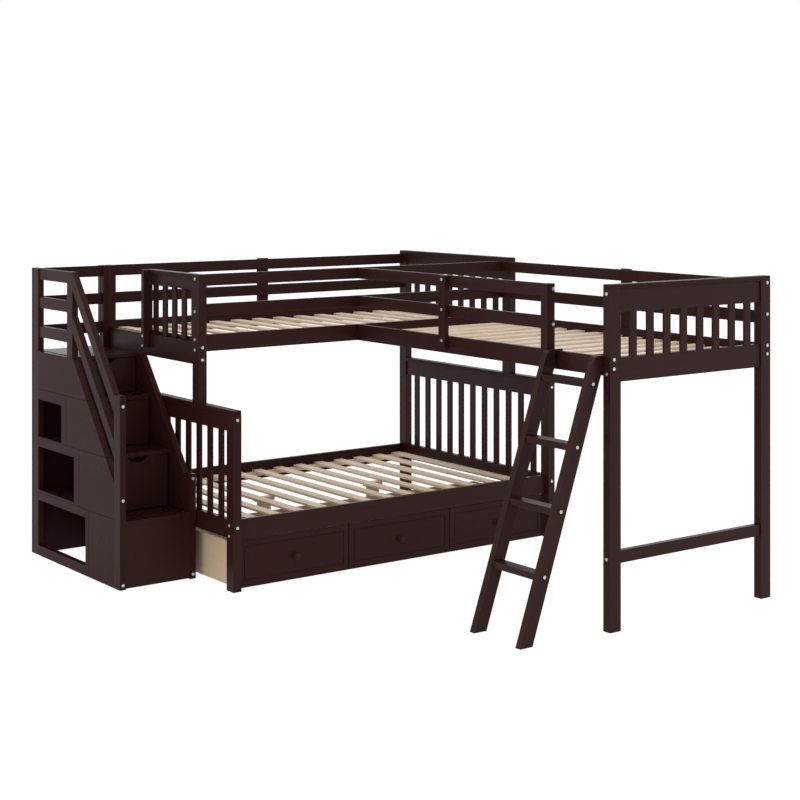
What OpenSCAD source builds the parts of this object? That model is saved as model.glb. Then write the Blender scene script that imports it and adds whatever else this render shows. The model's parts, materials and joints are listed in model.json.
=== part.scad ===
// L-shaped bunk bed: an upper bed over a wider lower bed, a loft bed at right angles,
// a storage staircase at the foot end, three rolling drawers and a lift-off ladder.
// All sizes in millimetres. X runs along the bunk, Y from the loft to the back, Z up.
// Origin: on the floor, at the centre of the outer bounds.

/* [Bunk beds] */
// Outer length of the bunk, over both end panels
bed_len = 2108; // [2000:2250]
// Outer width of the upper bed, over its posts
upper_w = 1063; // [1000:1150]
// Outer width of the lower bed, over its posts
lower_w = 1400; // [1340:1500]
// Height of the headboard and the loft end above the foot-end posts
head_over_foot = 19; // [10:30]
// Height of the foot-end posts above the guards
foot_over_guard = 1; // [0.5:0.5:5]
// Height of the low end panels of the lower bed, over their caps
low_end_h = 890; // [840:960]

/* [Loft bed] */
// Outer length of the loft bed, from the bunk's front to its far end
loft_len = 1940; // [1850:2050]
// Outer width of the loft bed, over its posts
loft_w = 1070; // [1000:1100]
// Clear length of the ladder opening, from the end posts to the guard post
ladder_opening = 359; // [352:420]
// Distance of the middle guard post from the loft's far end
mid_guard_at = 1174; // [1000:1400]

/* [Posts and caps] */
// Width of a bed post, along its panel
post_w = 66; // [60:72]
// Thickness of a bed post, across its panel
post_t = 46; // [44:52]
// Thickness of the cap boards on the end panels
cap_t = 22; // [18:28]
// Setback of the front rails behind the post faces
front_setback = 30; // [20:36]
// Setback of the back rails and loft rails behind the post faces
rail_setback = 12; // [10:20]

/* [Side rails and guards] */
// Thickness of the side rails and guard boards
rail_t = 22; // [20:24]
// Underside of the lower bed's side rails
low_rail_z = 246; // [240:270]
// Height of the lower bed's side rails
low_rail_h = 102; // [95:110]
// Underside of the upper side rails
up_rail_z = 1146; // [1100:1200]
// Height of the upper side rails
up_rail_h = 86; // [80:95]
// Height of the guards above the top of the upper side rails
guard_rise = 308; // [280:340]
// Distance from the lower guard boards to the upper ones
guard_pitch = 152; // [140:165]
// Height of a guard board
guard_h = 60; // [55:60]
// Width of the middle guard post
guard_post_w = 53; // [45:65]
// Thickness of the guard posts on the outer faces
guard_post_t = 26; // [22:32]
// Lap of a guard post below the top of the side rail
guard_post_lap = 60; // [50:70]
// Width of the battens that stiffen the back and far guards
batten_w = 74; // [60:90]
// Height of the battens above the guards
batten_rise = 5; // [2:8]
// Distance of the back batten from the middle of the bunk
batten_shift_x = 13; // [0:30]
// Distance of the far batten from the middle of the loft
batten_shift_y = 8; // [0:30]

/* [End panels] */
// Thickness of the rails in the end panels
end_rail_t = 30; // [26:34]
// Recess of those rails behind the outer face of the posts
end_recess = 8; // [4:10]
// Height of a low end's top rail, under its cap
low_top_rail_h = 84; // [70:100]
// Underside of a low end's bottom rail
low_bottom_rail_z = 257; // [250:270]
// Height of a low end's bottom rail
low_bottom_rail_h = 91; // [80:100]
// Height of the top rail of the headboard and loft end, under the cap
high_top_rail_h = 105; // [90:120]
// How far the bottom rail of the headboard and loft end reaches below the side rails
high_bottom_drop = 26; // [15:35]
// Height of that bottom rail
high_bottom_rail_h = 110; // [90:120]
// Underside of the loft end's low stretcher
stretcher_z = 304; // [250:360]
// Height of the stretcher
stretcher_h = 56; // [50:66]
// Width of a spindle
spindle_w = 43; // [38:48]
// Thickness of a spindle
spindle_t = 12; // [10:14]
// Number of spindles in a low end panel
low_spindles = 11; // [9:12]
// Number of spindles in the headboard and in the loft end
high_spindles = 8; // [7:9]
// Distance from spindle to spindle in the foot guard
foot_spindle_pitch = 101; // [96:106]

/* [Foot guard and entry] */
// Length of the foot guard, from the front of the bunk
foot_guard_len = 555; // [500:600]
// Height of the foot guard's top rail, under its cap
foot_top_rail_h = 59; // [50:80]
// How far the board across the foot end reaches below the side rails
foot_board_drop = 62; // [56:76]
// Height of that board
foot_board_h = 113; // [105:120]
// Height of the mattress stop above the foot board
stop_rise = 19; // [15:30]
// Thickness of the mattress stop
stop_t = 16; // [12:16]
// Width of the stile that closes the foot guard
stile_w = 12; // [10:16]
// Width of the post beside the entry
entry_post_w = 30; // [26:36]
// How far the entry post reaches below the side rails
entry_post_drop = 18; // [10:22]

/* [Slats] */
// Width of a slat
slat_w = 60; // [50:70]
// Thickness of a slat
slat_t = 12; // [10:16]
// Distance from slat to slat
slat_pitch = 146; // [130:160]
// Top of the lower slats, below the top of the side rail
low_slat_drop = 46; // [40:50]
// Top of the upper slats, below the top of the side rail
up_slat_drop = 38; // [34:42]
// Width of a slat ledge
ledge_w = 22; // [18:28]
// Height of a slat ledge
ledge_h = 24; // [20:24]
// Width of a centre leg
centre_leg_w = 76; // [60:80]
// Thickness of a centre leg
centre_leg_t = 22; // [18:30]
// Distance of the centre legs behind the drawer boxes
centre_leg_gap = 52; // [40:120]
// Height of the head on a centre leg
centre_head_h = 22; // [18:30]

/* [Rolling drawers] */
// Gap between two rolling drawers
roll_gap = 4; // [3:6]
// Gap between the foot end's post and the first drawer
roll_first_gap = 4; // [3:6]
// Gap between the last drawer and the headboard's post
roll_last_gap = 24; // [6:40]
// Depth of a rolling drawer's box, behind its front
roll_depth = 587; // [500:600]
// Gap between a drawer front and the floor
roll_floor_gap = 8; // [6:10]
// Gap between a drawer front and the rail above
roll_top_gap = 3; // [2:5]
// Distance from the top of a rolling drawer's front to the top of its box
roll_box_drop = 18; // [8:24]
// Thickness of a drawer front
front_t = 18; // [15:20]
// Thickness of a drawer box's boards
box_t = 12; // [10:12]
// Thickness of a drawer's bottom
bottom_t = 6; // [4:9]
// Radius of a drawer wheel
wheel_r = 20; // [18:20]
// Width of a drawer wheel
wheel_w = 12; // [10:16]
// Radius of a wheel axle
axle_r = 4; // [3:0.5:5]
// Distance of an axle from the end of the box
axle_inset = 60; // [50:90]
// Radius of a drawer knob
knob_r = 17; // [14:20]
// How far a knob stands out
knob_len = 28; // [24:34]

/* [Staircase] */
// Outer width of the staircase
stair_w = 428; // [400:460]
// Thickness of the staircase's sides and posts
stair_t = 33; // [30:34]
// Width of a staircase post
stair_post_w = 66; // [60:66]
// Width of the back left post, beside the cubbies
stair_back_post_w = 84; // [78:90]
// Distance of the staircase behind the front of the upper bed
stair_y = 30; // [20:35]
// Setback of the staircase from the back of the bed
stair_back_gap = 3; // [2:10]
// Top of the first tread
tread_1_z = 336; // [320:345]
// Top of the second tread
tread_2_z = 630; // [610:645]
// Top of the third tread
tread_3_z = 889; // [870:900]
// How far the platform lies below the upper side rails
platform_drop = 50; // [46:70]
// Run of the first tread
tread_1_run = 215; // [200:220]
// Run of the second tread
tread_2_run = 207; // [195:215]
// Run of the third tread
tread_3_run = 149; // [140:155]
// Thickness of the treads and shelves
tread_t = 20; // [16:22]
// Overhang of a tread in front of its riser
nosing = 8; // [5:12]
// Thickness of the riser, dividers and back
divider_t = 18; // [15:20]
// Height of the side panels at the front posts
side_front_z = 522; // [500:530]
// Width of the opening left of the middle post, from the front of the stairs
stair_mid_post = 531; // [525:540]
// Height of the handrail board, measured plumb
handrail_h = 88; // [80:95]
// Height of the board under the handrail, measured plumb
midrail_h = 85; // [76:90]
// Distance between the undersides of those two boards
midrail_drop = 220; // [200:240]
// Distance from the lowest guard boards beside the platform to the next ones
stair_guard_pitch = 157; // [145:165]
// Distance of the first cubby from the front of the stairs
cubby_1_at = 381; // [375:400]
// Distance of the second cubby from the front of the stairs
cubby_2_at = 514; // [510:525]
// Distance of the third cubby from the front of the stairs
cubby_3_at = 662; // [656:675]
// Border left round a cubby opening
cubby_rim = 16; // [12:17]
// Height of the band below the lowest cubby
cubby_base = 52; // [40:70]

/* [Staircase drawers] */
// Gap between a staircase drawer's front and the sides
step_side_gap = 8; // [5:10]
// Gap below a staircase drawer's front
step_low_gap = 4; // [3:5]
// Gap above a staircase drawer's front
step_top_gap = 2; // [1.5:0.5:4]
// Room behind the box in the second step
step_2_room = 16; // [6:40]
// Room behind the box in the third step
step_3_room = 11; // [6:40]
// Room behind the box in the fourth step
step_4_room = 40; // [6:80]
// Width of the finger notch in a front
notch_w = 114; // [100:130]
// Depth of the finger notch
notch_d = 32; // [26:36]
// Space for a drawer slide on each side of a box
slide_space = 13; // [12.5:0.5:14]
// Height of a drawer slide
slide_h = 35; // [30:45]

/* [Ladder] */
// Slope of the ladder's legs against the floor
ladder_angle = 70.5; // [68:0.5:73]
// Width of a ladder leg across its slope
leg_w = 68; // [60:74]
// Thickness of a ladder leg
leg_t = 33; // [28:36]
// Outer width of the ladder
ladder_w = 345; // [335:348]
// Distance from the loft's end posts to the ladder
ladder_end_gap = 2; // [1:4]
// How far the legs stand above the loft rail
leg_rise = 7; // [4:12]
// Top of the lowest rung
rung_1_z = 308; // [280:330]
// Distance from rung to rung
rung_pitch = 274; // [260:280]
// Height of a rung
rung_h = 30; // [26:34]
// Depth of a rung
rung_d = 62; // [54:66]
// Thickness of the hook plates
hook_t = 4; // [3:6]
// Height of a hook plate's arm over the loft rail
hook_arm_h = 9; // [8:14]
// How far a hook plate reaches down behind the rail
hook_lip = 24; // [18:34]
// Thickness of that lip
hook_lip_t = 5; // [4:7]
// How far a hook plate's shank reaches down along the leg
hook_shank = 34; // [28:44]
// Gap between a hook plate's shank and the rail
hook_gap = 8; // [6:12]

/* [Bolts] */
// Radius of a bolt head
head_r = 8; // [7:9]
// Height of a bolt head
head_t = 3; // [2:0.5:4]
// Radius of a bolt shank
shank_r = 3; // [2.5:0.5:4]
// Length of bolt inside the board it holds
bite = 50; // [44:56]
// Length of a rung bolt inside its rung
rung_bite = 40; // [34:60]
// Radius of a barrel nut
nut_r = 5; // [4.5:0.5:5.5]
// Length of a barrel nut
nut_len = 16; // [14:18]
// Distance from a bolt to the upper edge of its board
bolt_drop = 24; // [22:30]
// Distance between the two bolts in a side rail
bolt_pitch = 52; // [44:54]
// Distance from a guard board's bolt to the top of the upper board or the underside of the lower one
guard_bolt_in = 23; // [20:26]
// Distance from a bolt to the upper edge of its guard board at the loft end
loft_bolt_drop = 14; // [12:18]
// Distance between the heights of two bolts that cross in a post
cross_gap = 9; // [8:12]
// Distance from the loft rails' upper bolts to the top of the rails
loft_rail_bolt_drop = 9; // [9:16]
// Distance between the two bolts in a loft side rail
loft_rail_bolt_pitch = 42; // [40:48]
// Distance from the loft end's middle bolts to the lower bolts of the loft's side rails
loft_mid_gap = 24; // [18:28]
// Height of the stretcher's bolts in the stretcher
stretcher_rise = 23; // [18:30]
// Distance from a guard post's bolts to the upper edge of their board
guard_post_drop = 22; // [18:26]
// Distance from the lower bolts of the upper side rails to the foot board's upper bolts
foot_bolt_rise = 15; // [12:18]
// Distance of the foot board's bolts from the middle of its thickness
foot_bolt_shift = 6; // [0:6]
// Distance from the entry post's upper bolt to the top of the foot board
entry_bolt_drop = 8; // [8:16]
// Distance between the entry post's two bolts
entry_bolt_pitch = 52; // [46:60]
// Distance from the entry post's bolts to its edge
entry_bolt_in = 15; // [12:18]
// Distance from the left side's upper bolt to the top of its front edge
left_side_drop = 81; // [60:100]
// Distance from the right side's upper bolt to the top of its front edge
right_side_drop = 14; // [12:30]
// Wood left in front of the tip of a short bolt
blind_end = 4; // [3:6]

/* [Fits] */
// Gap round a bolt shank in its hole
bolt_gap = 0.4; // [0.2:0.1:0.6]
// Gap round a wheel axle in its bore
axle_gap = 0.05; // [0.03:0.01:0.1]
// Gap between parts that slide or lift off
slide_gap = 0.3; // [0.2:0.1:0.5]
// Glue line between boards that are glued in the workshop
glue_line = 0.1; // [0.05:0.05:0.2]

/* [Hidden] */
$fn = 32;
cut = 1;             // how far a cutting body stands past the face it cuts
ESPRESSO = "#3a2326";
PINE = "#d8c7a2";
PLY = "#c9b48c";
STEEL = "#c4c6c8";
BLACK = "#2a2a2c";

// Bunk: X from 0 at the foot end, Y from 0 at the front of the upper bed
low_front_y = upper_w - lower_w;
head_x = bed_len - post_t;
rail_x = [post_t, head_x];
front_rail_y = front_setback;
low_front_rail_y = low_front_y + front_setback;
back_rail_y = upper_w - rail_setback - rail_t;
low_rail_top = low_rail_z + low_rail_h;
up_rail_top = up_rail_z + up_rail_h;
guard_top = up_rail_top + guard_rise;
guard_top_z = guard_top - guard_h;
guard_mid_z = guard_top_z - guard_pitch;
foot_h = guard_top + foot_over_guard;
head_h = foot_h + head_over_foot;
low_slat_z = low_rail_top - low_slat_drop - slat_t;
up_slat_z = up_rail_top - up_slat_drop - slat_t;
low_post_top = low_end_h - cap_t;
high_post_top = head_h - cap_t;
end_rail_mid = end_recess + end_rail_t / 2;
spindle_in = end_rail_mid - spindle_t / 2;
high_bottom_rail_z = up_rail_z - high_bottom_drop;
foot_top_rail_z = foot_h - cap_t - foot_top_rail_h;
foot_board_z = up_rail_z - foot_board_drop;
foot_stop_z = foot_board_z + foot_board_h;
entry_post_z = up_rail_z - entry_post_drop;
entry_post_y = foot_guard_len - entry_post_w;
batten_x = bed_len / 2 - batten_shift_x;

// Loft: its far side is flush with the inner face of the headboard's posts
loft_x1 = head_x;
loft_x0 = loft_x1 - loft_w;
loft_y0 = -loft_len;
loft_in_y = loft_y0 + post_t;
near_x = loft_x0 + rail_setback;
far_x = loft_x1 - rail_setback - rail_t;
guard_end_y = loft_in_y + ladder_opening;
side_post_y = guard_end_y + post_t;
mid_post_y = loft_y0 + mid_guard_at;
batten_y = loft_y0 / 2 + batten_shift_y;

// Staircase: X from -stair_w to 0, beside the foot end
stair_x0 = -stair_w;
stair_in0 = stair_x0 + stair_t;
stair_in1 = -stair_t;
stair_back = upper_w - stair_back_gap;
platform_z = up_rail_z - platform_drop;
stair_guard_z = guard_mid_z - stair_guard_pitch;
riser_1_y = stair_y + 3;
riser_2_y = riser_1_y + tread_1_run;
riser_3_y = riser_2_y + tread_2_run;
riser_4_y = riser_3_y + tread_3_run;
side_y0 = stair_y + stair_post_w;
side_top_z = platform_z - 2;
mid_stair_y = stair_y + stair_mid_post;
slope_top_y = mid_stair_y - 5;
slope = (side_top_z - side_front_z) / (slope_top_y - side_y0);
back_post_y = stair_back - stair_post_w;
left_back_y = stair_back - stair_back_post_w;
back_panel_y = stair_back - stair_post_w + divider_t;
handrail_z = foot_h - 5 - handrail_h - slope * (mid_stair_y - side_y0);
front_post_top = handrail_z + handrail_h;
right_post_top = side_front_z + divider_t / 2;
cubby_1_y = stair_y + cubby_1_at;
cubby_2_y = stair_y + cubby_2_at;
cubby_3_y = stair_y + cubby_3_at;

// Ladder: the legs meet the loft rail just under its top edge
leg_run = leg_w / sin(ladder_angle);
leg_touch_z = up_rail_top - 18;
leg_foot_x = near_x - leg_touch_z / tan(ladder_angle);
leg_top = up_rail_top + leg_rise;
ladder_y0 = loft_in_y + ladder_end_gap;
ladder_y1 = ladder_y0 + ladder_w;
function leg_mid_x(z) = leg_foot_x - leg_run / 2 + z / tan(ladder_angle);

// Rolling drawers
roll_front_y = low_front_rail_y + 2;
roll_box_y = roll_front_y + front_t;
roll_top = low_rail_z - roll_top_gap;
roll_box_top = roll_top - roll_box_drop;
roll_w = (rail_x[1] - rail_x[0] - roll_first_gap - roll_last_gap - 2 * roll_gap) / 3;
centre_leg_y = roll_box_y + roll_depth + centre_leg_gap;
function roll_x(n) = post_t + roll_first_gap + (n - 1) * (roll_w + roll_gap);

// Staircase drawers: [front, bottom of the opening, top of the opening, depth of the box]
step_x = [stair_in0 + step_side_gap, stair_in1 - step_side_gap];
STEPS = [[0, 0, 0, 0], [0, 0, 0, 0],
  [riser_2_y, tread_1_z, tread_2_z - tread_t, cubby_2_y - divider_t - step_2_room - riser_2_y - front_t],
  [riser_3_y, tread_2_z, tread_3_z - tread_t, cubby_3_y - divider_t - step_3_room - riser_3_y - front_t],
  [riser_4_y, tread_3_z, platform_z - tread_t, back_panel_y - step_4_room - riser_4_y - front_t]];
slide_t = (slide_space - slide_gap) / 2;

// ---- Fasteners -------------------------------------------------------------
// A bolt is [centre of the seat under its head, direction, shank length, side of its nut]
post_bolt = post_t + bite;
wide_bolt = post_w + bite;
nut_back = 12;       // from the tip of a bolt to the middle of its nut
UP_RAIL_Z = [up_rail_top - bolt_drop, up_rail_top - bolt_drop - bolt_pitch];
LOW_RAIL_Z = [low_rail_top - bolt_drop, low_rail_top - bolt_drop - bolt_pitch];
GUARD_Z = [guard_top - guard_bolt_in, guard_mid_z + guard_bolt_in];
// At the back of the foot end the bolts also run through the staircase's post
function side_bolts(front_y, heights) = concat(
  [for (z = heights) [[0, front_y + rail_t / 2, z], "+x", post_bolt, 1]],
  [for (z = heights) [[-stair_t, back_rail_y + rail_t / 2, z], "+x", stair_t + post_bolt, 1]],
  [for (z = heights) [[bed_len, front_y + rail_t / 2, z], "-x", post_bolt, 1]],
  [for (z = heights) [[bed_len, back_rail_y + rail_t / 2, z], "-x", post_bolt, 1]]);
LOW_SIDE_BOLTS = side_bolts(low_front_rail_y, LOW_RAIL_Z);
UP_SIDE_BOLTS = side_bolts(front_rail_y, UP_RAIL_Z);
GUARD_BOLTS = side_bolts(front_rail_y, GUARD_Z);
LOW_END_Z = [low_post_top - bolt_drop, LOW_RAIL_Z[0] - cross_gap];
LOW_END_BOLTS = [for (z = LOW_END_Z, x = [end_rail_mid, bed_len - end_rail_mid], e = [0, 1])
  [[x, e == 0 ? low_front_y : upper_w, z], e == 0 ? "+y" : "-y", wide_bolt, 1]];
FOOT_BOARD_BOLTS = [for (z = [UP_RAIL_Z[1] + foot_bolt_rise, foot_board_z + bolt_drop], e = [0, 1])
  [[end_rail_t / 2 + foot_bolt_shift, e == 0 ? 0 : upper_w, z], e == 0 ? "+y" : "-y", wide_bolt, 1]];
ENTRY_BOLTS = [for (k = [0, 1], z = foot_stop_z - entry_bolt_drop - k * entry_bolt_pitch)
  [[-stair_t, foot_guard_len - entry_bolt_in, z], "+x", stair_t + end_rail_t - blind_end, 0]];
LOFT_RAIL_Z = [for (k = [0, 1]) up_rail_top - loft_rail_bolt_drop - k * loft_rail_bolt_pitch];
LOFT_END_Z = [guard_top - loft_bolt_drop - cross_gap, LOFT_RAIL_Z[1] - loft_mid_gap,
  stretcher_z + stretcher_rise];
LOFT_END_BOLTS = [for (z = LOFT_END_Z, e = [0, 1])
  [[e == 0 ? loft_x0 : loft_x1, loft_y0 + end_rail_mid, z], e == 0 ? "+x" : "-x", wide_bolt, 1]];
LOFT_RAIL_BOLTS = [for (z = LOFT_RAIL_Z, x = [near_x, far_x])
  [[x + rail_t / 2, loft_y0, z], "+y", post_bolt, 1]];
LOFT_GUARD_BOLTS = concat(
  [for (z = [guard_top, guard_mid_z + guard_h])
    [[far_x + rail_t / 2, loft_y0, z - loft_bolt_drop], "+y", post_bolt, 1]],
  [for (z = GUARD_Z) [[near_x + rail_t / 2, guard_end_y, z], "+y", post_bolt, 1]]);
// The bolts that join the loft to the bunk stand clear of those in the headboard's post
JOIN_RAIL_BOLTS = [for (z = UP_RAIL_Z + [cross_gap, cross_gap], x = [near_x, far_x])
  [[x + rail_t / 2, front_rail_y + rail_t, z], "-y", rail_t + bite, 1]];
JOIN_GUARD_BOLTS = [for (z = GUARD_Z + [-cross_gap, cross_gap], x = [near_x, far_x])
  [[x + rail_t / 2, front_rail_y + rail_t, z], "-y", rail_t + bite, 1]];
MID_POST_BOLTS = [for (z = [guard_top, guard_mid_z + guard_h, up_rail_top])
  [[near_x - guard_post_t, mid_post_y + guard_post_w / 2, z - guard_post_drop], "+x",
    guard_post_t + rail_t - blind_end, 0]];
BATTEN_BOLTS = concat(
  [for (z = [guard_top, guard_mid_z + guard_h, up_rail_top])
    [[batten_x, upper_w, z - bolt_drop], "-y", rail_setback + rail_t - blind_end, 0]],
  [for (z = [guard_top, guard_mid_z + guard_h, up_rail_top])
    [[loft_x1, batten_y, z - bolt_drop], "-x", rail_setback + rail_t - blind_end, 0]]);
STAIR_LEFT_BOLTS = [for (z = [side_front_z - left_side_drop, bolt_drop])
  [[stair_x0 + stair_t / 2, stair_y, z], "+y", stair_post_w + bite, 1]];
STAIR_RIGHT_BOLTS = [for (z = [side_front_z - right_side_drop, bolt_drop])
  [[-stair_t / 2, stair_y, z], "+y", stair_post_w + bite, -1]];
HANDRAIL_BOLTS = [[[stair_x0 + stair_t / 2, stair_y, handrail_z + handrail_h * 0.4], "+y",
  stair_post_w + handrail_h / slope * 0.3, 0]];
BOLTS = concat(LOW_SIDE_BOLTS, UP_SIDE_BOLTS, GUARD_BOLTS, LOW_END_BOLTS, FOOT_BOARD_BOLTS,
  ENTRY_BOLTS, LOFT_END_BOLTS, LOFT_RAIL_BOLTS, LOFT_GUARD_BOLTS, JOIN_RAIL_BOLTS,
  JOIN_GUARD_BOLTS, MID_POST_BOLTS, BATTEN_BOLTS, STAIR_LEFT_BOLTS, STAIR_RIGHT_BOLTS,
  HANDRAIL_BOLTS);
RUNGS = [for (k = [0:3]) rung_1_z + k * rung_pitch];
LADDER_BOLTS = [for (z = RUNGS, e = [0, 1])
  [[leg_mid_x(z - rung_h / 2), e == 0 ? ladder_y0 : ladder_y1, z - rung_h / 2],
    e == 0 ? "+y" : "-y", leg_t + rung_bite, 0]];

// ---- Helpers ---------------------------------------------------------------
// Moves the bunk's own coordinates to the origin of the whole bed
module place() {
  translate([(stair_w - bed_len - head_t) / 2, (loft_len - upper_w) / 2, 0]) children();
}

// A straight board between two opposite corners
module board(lo, hi) {
  translate(lo) cube(hi - lo);
}

// Turns +Z to a bolt's direction
module facing(way) {
  turn = way == "+x" ? [0, 90, 0] : way == "-x" ? [0, -90, 0] : way == "+y" ? [-90, 0, 0] : [90, 0, 0];
  rotate(turn) children();
}

// A bolt with a flat head and a hexagon socket
module bolt(b) {
  translate(b[0]) facing(b[1]) difference() {
    union() {
      translate([0, 0, -head_t]) cylinder(r = head_r, h = head_t);
      cylinder(r = shank_r, h = b[2]);
    }
    translate([0, 0, -head_t - cut]) cylinder(r = shank_r - 0.4, h = head_t * 0.6 + cut, $fn = 6);
  }
}

// The clearance holes of a list of bolts
module bolt_holes(list) {
  for (b = list) translate(b[0]) facing(b[1])
    translate([0, 0, -cut]) cylinder(r = shank_r + bolt_gap, h = b[2] + cut + bolt_gap);
}

// Places a barrel nut's axis across its bolt, pointing to the side it is put in from
module nut_place(b) {
  across = b[1] == "+x" || b[1] == "-x" ? [-90 * b[3], 0, 0] : [0, 90 * b[3], 0];
  ahead = b[2] - nut_back;
  step = b[1] == "+x" ? [ahead, 0, 0] : b[1] == "-x" ? [-ahead, 0, 0]
    : b[1] == "+y" ? [0, ahead, 0] : [0, -ahead, 0];
  translate(b[0] + step) rotate(across) children();
}

// The blind cross holes for the barrel nuts of a list of bolts
module nut_holes(list) {
  for (b = list) if (b[3] != 0) nut_place(b)
    translate([0, 0, -nut_len / 2 - bolt_gap / 2])
      cylinder(r = nut_r + bolt_gap / 2, h = nut_len / 2 + 30);
}

module barrel_nut(b) {
  if (b[3] != 0) difference() {
    nut_place(b) translate([0, 0, -nut_len / 2]) cylinder(r = nut_r, h = nut_len);
    translate(b[0]) facing(b[1]) cylinder(r = shank_r + bolt_gap / 4, h = b[2] + nut_r);
  }
}

// A row of spindles between two places on Y
module spindles_y(x, y0, y1, z0, z1, count) {
  gap = (y1 - y0 - count * spindle_w) / (count + 1);
  for (k = [0:count - 1]) {
    y = y0 + gap + k * (spindle_w + gap);
    board([x, y, z0], [x + spindle_t, y + spindle_w, z1]);
  }
}

// A row of spindles between two places on X
module spindles_x(y, x0, x1, z0, z1, count) {
  gap = (x1 - x0 - count * spindle_w) / (count + 1);
  for (k = [0:count - 1]) {
    x = x0 + gap + k * (spindle_w + gap);
    board([x, y, z0], [x + spindle_w, y + spindle_t, z1]);
  }
}

// Left edges of a centred row of slats in a clear length
function slat_count(clear) = floor((clear - slat_w) / slat_pitch) + 1;
function slat_at(from, clear, k) =
  from + (clear - slat_w - (slat_count(clear) - 1) * slat_pitch) / 2 + k * slat_pitch;

// ---- Bunk and loft frame ---------------------------------------------------
module lower_front_posts() {
  color(ESPRESSO) place() for (x = [0, head_x]) difference() {
    board([x, low_front_y, 0], [x + post_t, low_front_y + post_w, low_post_top]);
    bolt_holes(concat(LOW_SIDE_BOLTS, LOW_END_BOLTS));
  }
}

module upper_front_posts() {
  color(ESPRESSO) place() for (p = [[0, foot_h], [head_x, high_post_top]]) difference() {
    board([p[0], 0, low_end_h], [p[0] + post_t, post_w, p[1]]);
    bolt_holes(concat(UP_SIDE_BOLTS, GUARD_BOLTS, FOOT_BOARD_BOLTS));
  }
}

module back_posts() {
  color(ESPRESSO) place() for (p = [[0, foot_h], [head_x, high_post_top]]) difference() {
    board([p[0], upper_w - post_w, 0], [p[0] + post_t, upper_w, p[1]]);
    bolt_holes(concat(LOW_SIDE_BOLTS, UP_SIDE_BOLTS, GUARD_BOLTS, LOW_END_BOLTS, FOOT_BOARD_BOLTS));
  }
}

module loft_posts() {
  color(ESPRESSO) place() for (x = [loft_x0, loft_x1 - post_w]) difference() {
    board([x, loft_y0, 0], [x + post_w, loft_in_y, high_post_top]);
    bolt_holes(concat(LOFT_END_BOLTS, LOFT_RAIL_BOLTS, LOFT_GUARD_BOLTS));
  }
}

module end_caps() {
  color(ESPRESSO) place() {
    for (x = [0, head_x])
      board([x, low_front_y, low_post_top], [x + post_t, upper_w - post_w, low_end_h]);
    board([0, post_w, foot_h - cap_t], [post_t, foot_guard_len, foot_h]);
    board([head_x, 0, high_post_top], [bed_len, upper_w, head_h]);
    board([loft_x0, loft_y0, high_post_top], [loft_x1, loft_in_y, head_h]);
  }
}

module bunk_end_rails() {
  color(ESPRESSO) place() {
    for (x = [end_recess, bed_len - end_recess - end_rail_t]) difference() {
      union() {
        board([x, low_front_y + post_w, low_post_top - low_top_rail_h],
          [x + end_rail_t, upper_w - post_w, low_post_top]);
        board([x, low_front_y + post_w, low_bottom_rail_z],
          [x + end_rail_t, upper_w - post_w, low_bottom_rail_z + low_bottom_rail_h]);
      }
      bolt_holes(LOW_END_BOLTS);
      nut_holes(LOW_END_BOLTS);
    }
    translate([bed_len - end_recess - end_rail_t, post_w, 0]) {
      board([0, 0, high_post_top - high_top_rail_h], [end_rail_t, upper_w - 2 * post_w, high_post_top]);
      board([0, 0, high_bottom_rail_z],
        [end_rail_t, upper_w - 2 * post_w, high_bottom_rail_z + high_bottom_rail_h]);
    }
    board([end_recess, post_w, foot_top_rail_z],
      [end_recess + end_rail_t, foot_guard_len, foot_h - cap_t]);
    difference() {
      board([0, post_w, foot_board_z], [end_rail_t, upper_w - post_w, foot_stop_z]);
      bolt_holes(concat(FOOT_BOARD_BOLTS, ENTRY_BOLTS));
      nut_holes(FOOT_BOARD_BOLTS);
    }
    difference() {
      board([end_rail_t + glue_line, post_w, foot_stop_z - up_rail_h * 0.8],
        [end_rail_t + stop_t, foot_guard_len, foot_stop_z + stop_rise]);
      nut_holes(FOOT_BOARD_BOLTS);
    }
  }
}

module bunk_end_spindles() {
  stile_y = foot_guard_len - stile_w;
  foot_count = floor((stile_y - post_w - spindle_w) / foot_spindle_pitch) + 1;
  low_z0 = low_bottom_rail_z + low_bottom_rail_h;
  low_z1 = low_post_top - low_top_rail_h;
  color(ESPRESSO) place() {
    for (x = [spindle_in, bed_len - spindle_in - spindle_t])
      spindles_y(x, low_front_y + post_w, upper_w - post_w, low_z0, low_z1, low_spindles);
    spindles_y(bed_len - spindle_in - spindle_t, post_w, upper_w - post_w,
      high_bottom_rail_z + high_bottom_rail_h, high_post_top - high_top_rail_h, high_spindles);
    for (k = [0:foot_count - 1]) {
      y = post_w + k * foot_spindle_pitch;
      board([spindle_in, y, foot_stop_z], [spindle_in + spindle_t, y + spindle_w, foot_top_rail_z]);
    }
    board([end_recess, stile_y, foot_stop_z],
      [end_rail_t, foot_guard_len, foot_top_rail_z]);
  }
}

module loft_end_rails() {
  y = loft_y0 + end_recess;
  color(ESPRESSO) place() difference() {
    for (z = [[high_post_top - high_top_rail_h, high_post_top],
        [high_bottom_rail_z, high_bottom_rail_z + high_bottom_rail_h],
        [stretcher_z, stretcher_z + stretcher_h]])
      board([loft_x0 + post_w, y, z[0]], [loft_x1 - post_w, y + end_rail_t, z[1]]);
    bolt_holes(LOFT_END_BOLTS);
    nut_holes(LOFT_END_BOLTS);
  }
}

module loft_end_spindles() {
  color(ESPRESSO) place()
    spindles_x(loft_y0 + end_recess, loft_x0 + post_w, loft_x1 - post_w,
      high_bottom_rail_z + high_bottom_rail_h, high_post_top - high_top_rail_h, high_spindles);
}

module lower_side_rails() {
  color(ESPRESSO) place() for (y = [low_front_rail_y, back_rail_y]) difference() {
    board([rail_x[0], y, low_rail_z], [rail_x[1], y + rail_t, low_rail_top]);
    bolt_holes(LOW_SIDE_BOLTS);
    nut_holes(LOW_SIDE_BOLTS);
  }
}

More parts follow.
